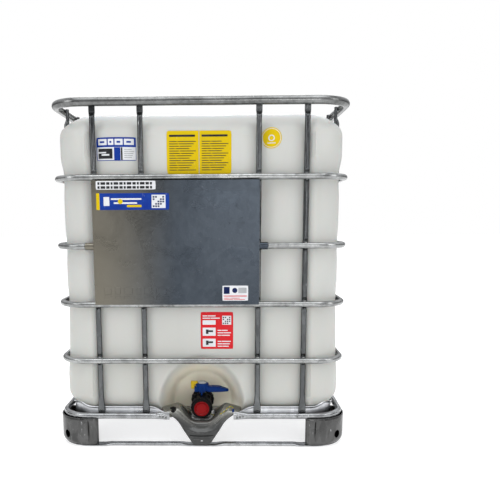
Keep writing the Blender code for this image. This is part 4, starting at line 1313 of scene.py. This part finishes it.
def make_plate():
    x0, x1 = PLATE_LOW.x + 0.030, PLATE_HIGH.x - 0.030
    z0, z1 = PLATE_LOW.z, PLATE_HIGH.z
    bm = bmesh.new()
    columns, rows = 54, 40
    grid = []
    for j in range(rows + 1):
        z = z0 + (z1 - z0) * j / rows
        grid.append([bm.verts.new((x0 + (x1 - x0) * i / columns,
                                   plate_wave(x0 + (x1 - x0) * i / columns, z), z))
                     for i in range(columns + 1)])
    for low, high in zip(grid, grid[1:]):
        for i in range(columns):
            bm.faces.new((low[i], low[i + 1], high[i + 1], high[i]))
    sheet = sheet_metal("plate_sheet", mesh_from("plate_sheet", bm), 0.0012)
    details = bmesh.new()
    raised(details, rounded_box(x0 + 0.001, z1 - 0.031, x1 - 0.001, z1 - 0.0005, 0.002), plate_wave, 0.0012,
           0.0012)
    for low, high in ((z0 + 0.0002, z0 + 0.007), (z1 - 0.036, z1 - 0.032)):
        raised(details, rounded_box(x0 + 0.001, low, x1 - 0.001, high, 0.0015), plate_wave, 0.0008, 0.0010)
    for edge in (x0, x1 - 0.006):
        raised(details, rounded_box(edge, z0 + 0.008, edge + 0.006, z1 - 0.038, 0.0015), plate_wave, 0.0007,
               0.0010)
    left = -0.320
    for width, gap in ((0.030, 0.007), (0.022, 0.007), (0.036, 0.007), (0.018, 0.007), (0.032, 0.007),
                       (0.044, 0.0)):
        raised(details, rounded_box(left, 0.514, left + width, 0.524, 0.002), plate_wave, 0.0010, 0.0012)
        raised(details, rounded_box(left, 0.530, left + width * 0.8, 0.554, 0.003), plate_wave, 0.0010,
               0.0012)
        left += width + gap
    frame_box = (0.080, 0.744, 0.160, 0.846)
    for x_low, z_low, x_high, z_high in ((0.080, 0.744, 0.083, 0.846), (0.157, 0.744, 0.160, 0.846),
                                         (0.080, 0.744, 0.160, 0.747), (0.080, 0.843, 0.160, 0.846)):
        raised(details, rounded_box(x_low, z_low, x_high, z_high, 0.0012), plate_wave, 0.0009, 0.0008)
    for step, reach in enumerate((0.050, 0.036)):
        z = frame_box[1] + 0.016 + 0.016 * step
        raised(details, rounded_box(0.120 - reach / 2, z, 0.120 + reach / 2, z + 0.006, 0.002), plate_wave,
               0.0009, 0.001)
    for side in (-1, 1):
        raised(details, [(0.120, 0.826), (0.120, 0.818), (0.120 + side * 0.026, 0.792),
                         (0.120 + side * 0.026, 0.800)][::side], plate_wave, 0.0009, 0.0008)
    bmesh.ops.recalc_face_normals(details, faces=details.faces[:])
    pads = bpy.data.meshes.new("pads")
    details.to_mesh(pads)
    details.free()
    ears = bmesh.new()
    ring_y, ring_z = -RING_HALF[1], middle("ring_middle").z
    for inner, outer in ((x0 + 0.001, PLATE_LOW.x), (x1 - 0.001, PLATE_HIGH.x)):
        rings = []
        for t in (0.0, 0.06, 0.5, 0.94, 1.0):
            x = inner + (outer - inner) * t
            trim = 0.0008 if t in (0.0, 1.0) else 0.0
            ring = []
            for radius in (0.0122 - trim, 0.0108 + trim):
                angles = range(100, 261, 16) if radius > 0.0115 else range(260, 99, -16)
                for a in angles:
                    ring.append((x, ring_y + radius * math.cos(math.radians(a)),
                                 ring_z + radius * math.sin(math.radians(a))))
            rings.append(ring)
        loft(ears, rings)
    mesh = joined("label_plate_sheet", sheet, pads, mesh_from("ears", ears), sharp=30)
    keep("label_plate_sheet", mesh, ZINC_PLATE, "container", "galvanised_steel", "label_plate")


class Label:
    """A stuck film with printed marks, laid on a surface given as y(x, z)."""

    def __init__(self, name, box, surface, papers, radius=0.002):
        self.name, self.box, self.surface, self.papers = name, box, surface, papers
        self.bm = bmesh.new()
        self.layer = 0
        self.patch((0, 0, 1, 1), 0, radius)

    def patch(self, share, ink, radius=0.0004):
        """Rectangle given in shares of the label, laid a hair above what is under it."""
        x0, z0, x1, z1 = self.box
        left, right = x0 + (x1 - x0) * share[0], x0 + (x1 - x0) * share[2]
        low, high = z0 + (z1 - z0) * share[1], z0 + (z1 - z0) * share[3]
        columns = max(2, round((right - left) / 0.008))
        rows = max(2, round((high - low) / 0.012))
        lift = 0.00035 + 0.00022 * self.layer
        grid = []
        for j in range(rows + 1):
            line = []
            for i in range(columns + 1):
                x = left + (right - left) * i / columns
                z = low + (high - low) * j / rows
                if i in (0, columns) and j in (0, rows):
                    x += radius * 0.3 * (1 if i == 0 else -1)
                    z += radius * 0.3 * (1 if j == 0 else -1)
                line.append(self.bm.verts.new((x, self.surface(x, z) - lift, z)))
            grid.append(line)
        for under, over in zip(grid, grid[1:]):
            for i in range(columns):
                face = self.bm.faces.new((under[i], under[i + 1], over[i + 1], over[i]))
                face.material_index = ink

    def disc(self, centre, radius, ink, sides=40, inner=0.0):
        x0, z0, x1, z1 = self.box
        cx, cz = x0 + (x1 - x0) * centre[0], z0 + (z1 - z0) * centre[1]
        lift = 0.00035 + 0.00022 * self.layer
        radii = [radius * k / 3 for k in (1, 2, 3)] if inner == 0 else [inner, (inner + radius) / 2, radius]
        rows = []
        for reach in radii:
            rows.append([self.bm.verts.new((cx + reach * math.cos(a), self.surface(cx + reach * math.cos(a),
                        cz + reach * math.sin(a)) - lift, cz + reach * math.sin(a)))
                        for a in (math.tau * k / sides for k in range(sides))])
        for under, over in zip(rows, rows[1:]):
            for i in range(sides):
                j = (i + 1) % sides
                face = self.bm.faces.new((under[i], over[i], over[j], under[j]))
                face.material_index = ink
        if inner == 0:
            self.bm.faces.new(rows[0]).material_index = ink

    def lines(self, share, count, ink, fill=0.45, seed=1):
        """Rows of short dashes that stand for small print."""
        x0, z0, x1, z1 = share
        pitch = (z1 - z0) / count
        for row in range(count):
            z = z1 - pitch * (row + 1)
            ends = x1 - (x1 - x0) * (0.32 * ((row * 5 + seed * 3) % 4) / 4)
            breaks = [x0, x0 + (ends - x0) * (0.30 + 0.08 * ((row + seed) % 3)), ends]
            for a, b in zip(breaks, breaks[1:]):
                self.patch((a, z, b - 0.02 * (x1 - x0), z + pitch * fill), ink)

    def finish(self, slot):
        for face in self.bm.faces:
            if face.normal.y > 0:
                face.normal_flip()
        mesh = bpy.data.meshes.new(self.name)
        self.bm.normal_update()
        for face in self.bm.faces:
            if face.normal.y > 0:
                face.normal_flip()
        self.bm.to_mesh(mesh)
        self.bm.free()
        for paper in self.papers:
            mesh.materials.append(paper)
        mesh = sheet_metal(self.name, mesh, 0.00016)
        keep(self.name, mesh, self.papers, "container", slot)


def make_maker_label():
    label = Label("maker_label", (-0.337, 0.965, -0.206, 1.039), front_wall,
                  (INK_BLUE, INK_WHITE, INK_BLACK, INK_GREY), 0.004)
    label.layer = 1
    label.patch((0.02, 0.03, 0.98, 0.58), 1)
    for start, wide in ((0.05, 0.22), (0.30, 0.14), (0.47, 0.20), (0.70, 0.24)):
        label.patch((start, 0.67, start + wide, 0.93), 1)
    label.layer = 2
    for start, wide in ((0.09, 0.12), (0.34, 0.05), (0.52, 0.09), (0.76, 0.11)):
        label.patch((start, 0.76, start + wide, 0.84), 0)
    label.patch((0.05, 0.09, 0.41, 0.52), 2)
    label.patch((0.45, 0.03, 0.61, 0.57), 0)
    label.patch((0.62, 0.03, 0.66, 0.57), 2)
    label.lines((0.70, 0.12, 0.95, 0.54), 5, 3)
    label.layer = 3
    label.patch((0.13, 0.22, 0.33, 0.29), 1)
    label.patch((0.05, 0.32, 0.25, 0.38), 1)
    label.finish("blue_plastic")


def make_handling_label():
    label = Label("handling_label", (-0.107, 0.922, 0.103, 1.057), front_wall, (INK_YELLOW, INK_BLACK, INK_GREY),
                  0.006)
    label.layer = 1
    label.patch((0.495, 0.0, 0.505, 1.0), 2)
    for start in (0.04, 0.54):
        label.patch((start, 0.86, start + 0.40, 0.91), 1)
        label.lines((start, 0.08, start + 0.42, 0.80), 13, 1, 0.32, seed=int(start * 10))
    label.finish("yellow_plastic")


def make_round_label():
    label = Label("round_label", (0.199, 1.000, 0.265, 1.066), front_wall, (INK_YELLOW, INK_WHITE), 0.0)
    label.bm.clear()
    label.disc((0.5, 0.5), 0.033, 0)
    label.layer = 1
    label.disc((0.5, 0.5), 0.0300, 1, inner=0.0285)
    label.disc((0.5, 0.5), 0.0100, 1, inner=0.0070)
    label.patch((0.30, 0.24, 0.70, 0.28), 1)
    label.finish("yellow_plastic")


def make_valve_steps_label():
    label = Label("valve_steps_label", (-0.001, 0.340, 0.109, 0.467), front_wall, (INK_RED, INK_WHITE, INK_BLACK),
                  0.003)
    label.layer = 1
    for step in range(2):
        low = 0.06 + 0.30 * step
        label.patch((0.06, low, 0.46, low + 0.22), 1)
        label.lines((0.52, low, 0.94, low + 0.20), 3, 1, 0.4, seed=step)
    label.patch((0.06, 0.66, 0.46, 0.78), 1)
    label.lines((0.06, 0.82, 0.60, 0.94), 2, 1, 0.5)
    label.patch((0.66, 0.66, 0.94, 0.90), 1)
    label.layer = 2
    for step in range(2):
        low = 0.06 + 0.30 * step
        label.patch((0.16, low + 0.05, 0.24, low + 0.17), 2)
        label.patch((0.24, low + 0.10, 0.38, low + 0.15), 2)
    for i in range(4):
        for j in range(4):
            if (i * 3 + j * 5) % 4 != 1:
                label.patch((0.68 + 0.064 * i, 0.68 + 0.052 * j, 0.72 + 0.064 * i, 0.715 + 0.052 * j), 2)
    label.finish("red_plastic")


def make_marking_strip():
    label = Label("marking_strip", (-0.336, 0.8715, -0.142, 0.8990), lambda x, z: plate_wave(x, z) - 0.0013,
                  (INK_WHITE, INK_BLACK))
    label.layer = 1
    for row, low in enumerate((0.10, 0.56)):
        left = 0.03
        for i in range(15):
            wide = 0.035 + 0.022 * ((i * 5 + row * 3) % 3)
            label.patch((left, low, min(0.97, left + wide), low + 0.30), 1)
            left += wide + 0.016
            if left > 0.93:
                break
    label.finish("grey_plastic")


def make_care_label():
    label = Label("care_label", (-0.336, 0.807, -0.099, 0.860), plate_wave,
                  (INK_BLUE, INK_YELLOW, INK_WHITE, INK_NAVY),
                  0.003)
    label.layer = 1
    label.patch((0.0, 0.0, 0.045, 1.0), 1)
    label.patch((0.10, 0.24, 0.18, 0.78), 2)
    label.patch((0.20, 0.60, 0.62, 0.70), 2)
    label.patch((0.24, 0.36, 0.56, 0.46), 2)
    label.patch((0.42, 0.16, 0.62, 0.30), 1)
    label.patch((0.76, 0.10, 0.95, 0.90), 2)
    label.layer = 2
    label.disc((0.33, 0.50), 0.008, 1)
    for i in range(5):
        for j in range(5):
            if (i * 7 + j * 3) % 5 not in (1, 3):
                label.patch((0.775 + 0.033 * i, 0.16 + 0.14 * j, 0.80 + 0.033 * i, 0.26 + 0.14 * j), 3)
    label.finish("blue_plastic")


def make_service_label():
    label = Label("service_label", (0.073, 0.509, 0.158, 0.559), plate_wave,
                  (INK_WHITE, INK_NAVY, INK_RED, INK_GREY))
    label.layer = 1
    label.patch((0.05, 0.45, 0.28, 0.92), 1)
    label.disc((0.48, 0.68), 0.0085, 1)
    label.patch((0.62, 0.50, 0.94, 0.86), 3)
    label.patch((0.05, 0.28, 0.95, 0.34), 2)
    label.lines((0.05, 0.06, 0.90, 0.24), 2, 2, 0.4)
    label.finish("grey_plastic")


make_plate()
make_maker_label()
make_handling_label()
make_round_label()
make_valve_steps_label()
make_marking_strip()
make_care_label()
make_service_label()


# ---------------------------------------------------------------- lid
def make_lid():
    disc_low, disc_high = LID_DISC
    bm = bmesh.new()
    turned(bm, ((0.0256, disc_high - 0.001), (0.0262, disc_high), (0.036, disc_high),
                (0.037, disc_high - 0.0012),
                (0.060, disc_high - 0.0012), (0.061, disc_high), (0.0850, disc_high),
                (0.0885, disc_high - 0.0008),
                (0.0908, disc_high - 0.0035), (0.0915, disc_high - 0.007), (0.0915, 1.0995), (0.0905, 1.0980),
                (0.0840, 1.0980), (0.0826, 1.0990), (0.0826, disc_low), (0.0256, disc_low)), (0, 0, 0),
                steps=72)
    shell = mesh_from("shell", bm, 40)
    ribs = ribs_round("ribs", (0, 0, 1.1200), 0.0912, 48, rib_part(0.0026, 0.0010, 0.038, along=2), BLACK,
                      False)
    spokes = []
    for i in range(8):
        a = math.tau * i / 8
        spokes.append(((0.0485 * math.cos(a), 0.0485 * math.sin(a), disc_high - 0.0012),
                       (0, -math.pi / 2, a), 1.0))
    bars = copies("spokes", rib_part(0.0040, 0.0012, 0.020, along=2), BLACK,
                  [(Vector(point), turn, size) for point, turn, size in
                   [((p[0], p[1], p[2]), (math.pi / 2, -math.pi / 2, math.pi / 2 + t[2]), s) for p, t,
                    s in spokes]])
    keep("lid_shell", joined("lid_shell", shell, ribs, bars), BLACK, "lid", "black_plastic", "lid")


def make_vent_plug():
    disc_high = LID_DISC[1]
    low, high = [corner[2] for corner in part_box("vent_plug")]
    bm = bmesh.new()
    turned(bm, ((0, high - 0.0014), (0.0180, high - 0.0014), (0.0190, high - 0.0003), (0.0260, high),
                (0.0285, high - 0.0006), (0.0300, high - 0.0022), (0.0300, disc_high + 0.0004),
                (0.0250, disc_high + 0.0004), (0.0250, low + 0.001), (0.0240, low), (0, low)), (0, 0, 0),
                steps=40,
           closed=False)
    plug = mesh_from("plug", bm)
    grips = ribs_round("grips", (0, 0, (high + disc_high) / 2), 0.0298, 24,
                       rib_part(0.0020, 0.0007, 0.0030, along=2),
                       RED, False)
    bar = block((0.032, 0.0050, 0.0022), (0, 0, high - 0.0012), 0.0006, 2)
    keep("vent_plug_body", joined("vent_plug_body", plug, grips, bar), RED, "vent", "red_plastic",
         "vent_plug")


# ---------------------------------------------------------------- outlet valve
def make_union_nut():
    bm = bmesh.new()
    back = -0.4265
    turned(bm, ((0.0316, 0.0305), (0.0375, 0.0305), (0.0392, 0.0292), (0.0398, 0.0260), (0.0398, 0.0045),
                (0.0390, 0.0012), (0.0375, 0.0), (0.0316, 0.0)), (0, back, VALVE_Z), along_y=True, steps=56)
    ribs = ribs_round("nut_ribs", (0, back - 0.0153, VALVE_Z), 0.0396, 18, rib_part(0.0052, 0.0018, 0.026),
                      BLACK)
    keep("union_nut_body", joined("union_nut_body", mesh_from("ring", bm), ribs), BLACK, "container",
         "black_plastic",
         "union_nut")


def make_valve_body():
    start = -0.4524
    length = 0.1076
    bm = bmesh.new()
    turned(bm, ((0.0235, length), (0.0288, length), (0.0300, length - 0.0015), (0.0294, length - 0.004),
                (0.0300, length - 0.0065), (0.0294, length - 0.009), (0.0300, length - 0.0115),
                (0.0300, length - 0.0235), (0.0330, length - 0.0240), (0.0335, length - 0.0260),
                (0.0335, length - 0.0290), (0.0322, length - 0.0310), (0.0322, 0.0350), (0.0335, 0.0330),
                (0.0335, 0.0280), (0.0320, 0.0260), (0.0320, 0.0090), (0.0300, 0.0075), (0.0300, 0.0),
                (0.0235, 0.0)),
           (0, start, VALVE_Z), along_y=True, steps=48)
    boss = ((0.0056, 0.1650), (0.0138, 0.1650), (0.0150, 0.1640), (0.0150, 0.1600), (0.0175, 0.1575),
            (0.0175, 0.1480),
            (0.0056, 0.1480))
    turned(bm, boss, (0, STEM_Y, 0), steps=36)
    body = mesh_from("housing", bm, 35)
    lugs = [block((wide, wide, wide), (x, STEM_Y, VALVE_Z + rise), 0.0025)
            for wide, x, rise in ((0.012, -0.0265, 0.0255), (0.010, 0.0255, 0.0230))]
    ribs = ribs_round("housing_ribs", (0, STEM_Y, VALVE_Z), 0.0320, 12, rib_part(0.0030, 0.0012, 0.030),
                      BLACK,
                      start=0.26)
    keep("valve_housing", joined("valve_housing", body, ribs, *lugs), BLACK, "container", "black_plastic",
         "valve_body")


def make_handle():
    hub_low, hub_high = 0.1654, 0.1995
    bm = bmesh.new()
    turned(bm, ((0.0054, hub_high - 0.001), (0.0150, hub_high - 0.0010), (0.0156, hub_high),
                (0.0215, hub_high),
                (0.0230, hub_high - 0.0015), (0.0230, hub_high - 0.010), (0.0222, hub_high - 0.012),
                (0.0226, hub_low + 0.012), (0.0224, hub_low + 0.0085), (0.0212, hub_low + 0.0075),
                (0.0120, hub_low + 0.0070), (0.0110, hub_low + 0.0055), (0.0110, hub_low + 0.001),
                (0.0102, hub_low), (0.0054, hub_low)),
           (0, STEM_Y, 0), steps=44)
    hub = mesh_from("hub", bm, 40)
    bm = bmesh.new()
    rings = []
    keys = ((0.004, 0.0190, hub_low + 0.0070, 0.1950), (0.018, 0.0185, hub_low + 0.0060, 0.1935),
            (0.026, 0.0160, hub_low + 0.0030, 0.1900), (0.040, 0.0150, hub_low + 0.0026, 0.1890),
            (0.058, 0.0148, hub_low + 0.0030, 0.1880), (0.066, 0.0140, hub_low + 0.0032, 0.1866),
            (0.078, 0.0118, hub_low + 0.0036, 0.1826), (0.090, 0.0080, 0.1695, 0.1786),
            (0.0935, 0.0060, 0.1708, 0.1770), (0.0942, 0.0040, 0.1722, 0.1758))
    for x, half, low, high in soft_row(keys, 3):
        ring = []
        for k in range(24):
            a = math.tau * k / 24
            side = half * math.copysign(abs(math.cos(a)) ** 0.35, math.cos(a))
            rise = math.copysign(abs(math.sin(a)) ** 0.35, math.sin(a))
            z = (low + high) / 2 + (high - low) / 2 * rise
            if rise > 0 and 0.030 < x < 0.072 and abs(side) < half * 0.72:
                z -= 0.0022 * smooth(x, 0.030, 0.036) * (1 - smooth(x, 0.066, 0.072))
            ring.append((x, STEM_Y + side, z))
        rings.append(ring)
    loft(bm, rings)
    blade = mesh_from("blade", bm, 34)
    tab = block((0.0055, 0.0035, 0.0170), (-0.001, STEM_Y - 0.0190, hub_low + 0.0020), 0.0008, 2)
    ribs = copies("ribs", rib_part(0.0018, 0.0010, 0.020, along=2), BLUE,
                  [(Vector((0.0228 * math.cos(a), STEM_Y + 0.0228 * math.sin(a), 0.1800)), (0, 0, a), 1.0)
                   for a in (math.radians(70 + 20 * k) for k in range(12)) if abs(a - math.pi) > 0.5])
    seat = block((0.0120, 0.0220, 0.0160), (-0.0215, STEM_Y - 0.0030, hub_low + 0.0125), 0.0014, 2)
    grip = joined("handle_grip", hub, blade, tab, seat, ribs, sharp=34)
    grip.transform(Matrix.Translation((0, 0, HANDLE_RAISE)))
    keep("handle_grip", grip, BLUE, "closure", "blue_plastic", "handle")
    low, high = [corner[2] + HANDLE_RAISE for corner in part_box("handle_cap")]
    bm = bmesh.new()
    turned(bm, ((0, high - 0.0006), (0.0085, high - 0.0006), (0.0092, high), (0.0125, high - 0.0002),
                (0.0142, high - 0.0014), (0.0148, high - 0.0032), (0.0148, low), (0, low)), (0, STEM_Y, 0),
                steps=40,
           closed=False)
    keep("handle_cap_body", mesh_from("handle_cap_body", bm), GREY, "closure", "grey_plastic", "handle_cap")


def make_catch():
    low, high = [Vector(corner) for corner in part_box("safety_catch")]
    centre = (low + high) / 2 + Vector((0, 0, 0.0030))
    parts = []
    shapes = ((Vector((0.0235, 0.0150, 0.0085)), Vector((0, 0, 0.0088))),
              (Vector((0.0120, 0.0160, 0.0265)), Vector((-0.0058, 0, 0))),
              (Vector((0.0050, 0.0180, 0.0060)), Vector((-0.0070, 0, 0.0015))),
              (Vector((0.0080, 0.0060, 0.0100)), Vector((0.0040, 0, 0.0020))))
    for size, offset in shapes:
        parts.append(block(size, centre + offset, 0.0010))
    keep("safety_catch_body", joined("safety_catch_body", *parts), YELLOW, "catch", "yellow_plastic",
         "safety_catch")


def make_outlet_cap():
    spigot = -0.5600
    bm = bmesh.new()
    turned(bm, ((0.0268, 0.0070), (0.0276, 0.0074), (0.0300, 0.0074), (0.0312, 0.0062), (0.0318, 0.0040),
                (0.0322, -0.0015), (0.0345, -0.0030), (0.0362, -0.0045), (0.0368, -0.0070), (0.0368, -0.0190),
                (0.0360, -0.0208), (0.0308, -0.0208), (0.0308, 0.0049), (0.0268, 0.0049)),
           (0, spigot, VALVE_Z), along_y=True, steps=64)
    ribs = ribs_round("cap_ribs", (0, spigot + 0.0125, VALVE_Z), 0.0366, 26,
                      rib_part(0.0042, 0.0016, 0.014), BLACK)
    keep("outlet_cap_ring", joined("outlet_cap_ring", mesh_from("ring", bm), ribs), BLACK, "cap",
         "black_plastic",
         "outlet_cap")
    bm = bmesh.new()
    turned(bm, ((0, 0.0018), (0.0170, 0.0020), (0.0190, 0.0028), (0.0212, 0.0058), (0.0226, 0.0074),
                (0.0248, 0.0073),
                (0.0261, 0.0060), (0.0261, 0.0045), (0.0290, 0.0045), (0.0290, 0.0022), (0, 0.0022)),
           (0, spigot, VALVE_Z), along_y=True, steps=56, closed=False)
    keep("cap_insert_disc", mesh_from("cap_insert_disc", bm, 60), RED, "cap_travel", "red_plastic",
         "cap_insert")


make_lid()
make_vent_plug()
make_union_nut()
make_valve_body()
make_handle()
make_catch()
make_outlet_cap()

for node, finish in (("lid_seal", RUBBER), ("outlet_seal", RUBBER), ("valve_stem", ZINC_BOLT),
                     ("valve_disc", BLACK)):
    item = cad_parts[node]
    item.data.materials.clear()
    item.data.materials.append(finish)


# ---------------------------------------------------------------- floor and light
def make_floor():
    finish = Finish("studio_floor", 0.7, Emission_Color=(1, 1, 1, 1), Emission_Strength=0.62)
    finish.colour(finish.ramp(finish.noise(3.0, 2.0), (0.3, (0.54, 0.54, 0.54)), (0.7, (0.56, 0.56, 0.56))))
    bm = bmesh.new()
    bmesh.ops.create_grid(bm, x_segments=1, y_segments=1, size=30.0)
    bmesh.ops.translate(bm, vec=(0, 0, -0.0004), verts=bm.verts[:])
    mesh = bpy.data.meshes.new("studio_floor")
    bm.to_mesh(mesh)
    bm.free()
    mesh.materials.append(finish.material)
    floor = bpy.data.objects.new("studio_floor", mesh)
    scene.collection.objects.link(floor)


def area_light(name, location, target, size, energy, colour=(1, 1, 1)):
    light = bpy.data.lights.new(name, "AREA")
    light.shape = "RECTANGLE"
    light.size, light.size_y = size
    light.energy = energy
    light.color = colour
    item = bpy.data.objects.new(name, light)
    item.location = location
    item.rotation_euler = (Vector(target) - Vector(location)).to_track_quat("-Z", "Y").to_euler()
    scene.collection.objects.link(item)


def make_light():
    """Bright ceiling, dim horizon for the metal to mirror, and a white surround behind everything."""
    world = bpy.data.worlds.new("studio")
    scene.world = world
    world.use_nodes = True
    tree = world.node_tree
    tree.nodes.clear()
    coord = tree.nodes.new("ShaderNodeTexCoord")
    split = tree.nodes.new("ShaderNodeSeparateXYZ")
    ramp = tree.nodes.new("ShaderNodeValToRGB")
    ramp.color_ramp.elements[0].position = 0.04
    ramp.color_ramp.elements[0].color = (0.20, 0.20, 0.205, 1)
    ramp.color_ramp.elements[1].position = 0.55
    ramp.color_ramp.elements[1].color = (1.0, 1.01, 1.03, 1)
    dim = tree.nodes.new("ShaderNodeBackground")
    white = tree.nodes.new("ShaderNodeBackground")
    white.inputs["Color"].default_value = (1, 1, 1, 1)
    white.inputs["Strength"].default_value = 1.0
    path = tree.nodes.new("ShaderNodeLightPath")
    mix = tree.nodes.new("ShaderNodeMixShader")
    out = tree.nodes.new("ShaderNodeOutputWorld")
    tree.links.new(coord.outputs["Generated"], split.inputs["Vector"])
    tree.links.new(split.outputs["Z"], ramp.inputs["Fac"])
    tree.links.new(ramp.outputs["Color"], dim.inputs["Color"])
    tree.links.new(path.outputs["Is Camera Ray"], mix.inputs["Fac"])
    tree.links.new(dim.outputs["Background"], mix.inputs[1])
    tree.links.new(white.outputs["Background"], mix.inputs[2])
    tree.links.new(mix.outputs["Shader"], out.inputs["Surface"])
    area_light("ceiling_softbox", (0.0, -1.2, 4.2), (0, -0.2, 0.4), (3.6, 3.0), 66, (0.97, 0.985, 1.0))
    area_light("left_softbox", (-3.2, -2.6, 2.2), (0, 0, 0.6), (1.6, 2.4), 26)
    area_light("right_softbox", (3.4, -2.0, 2.0), (0, 0, 0.6), (1.4, 2.4), 22)
    area_light("front_softbox", (0.6, -4.6, 1.0), (0, 0, 0.25), (1.6, 1.0), 16)
    area_light("back_softbox", (0.0, 3.6, 3.0), (0, 0, 0.6), (3.0, 1.6), 40)


make_floor()
make_light()
scene.view_settings.view_transform = "Standard"
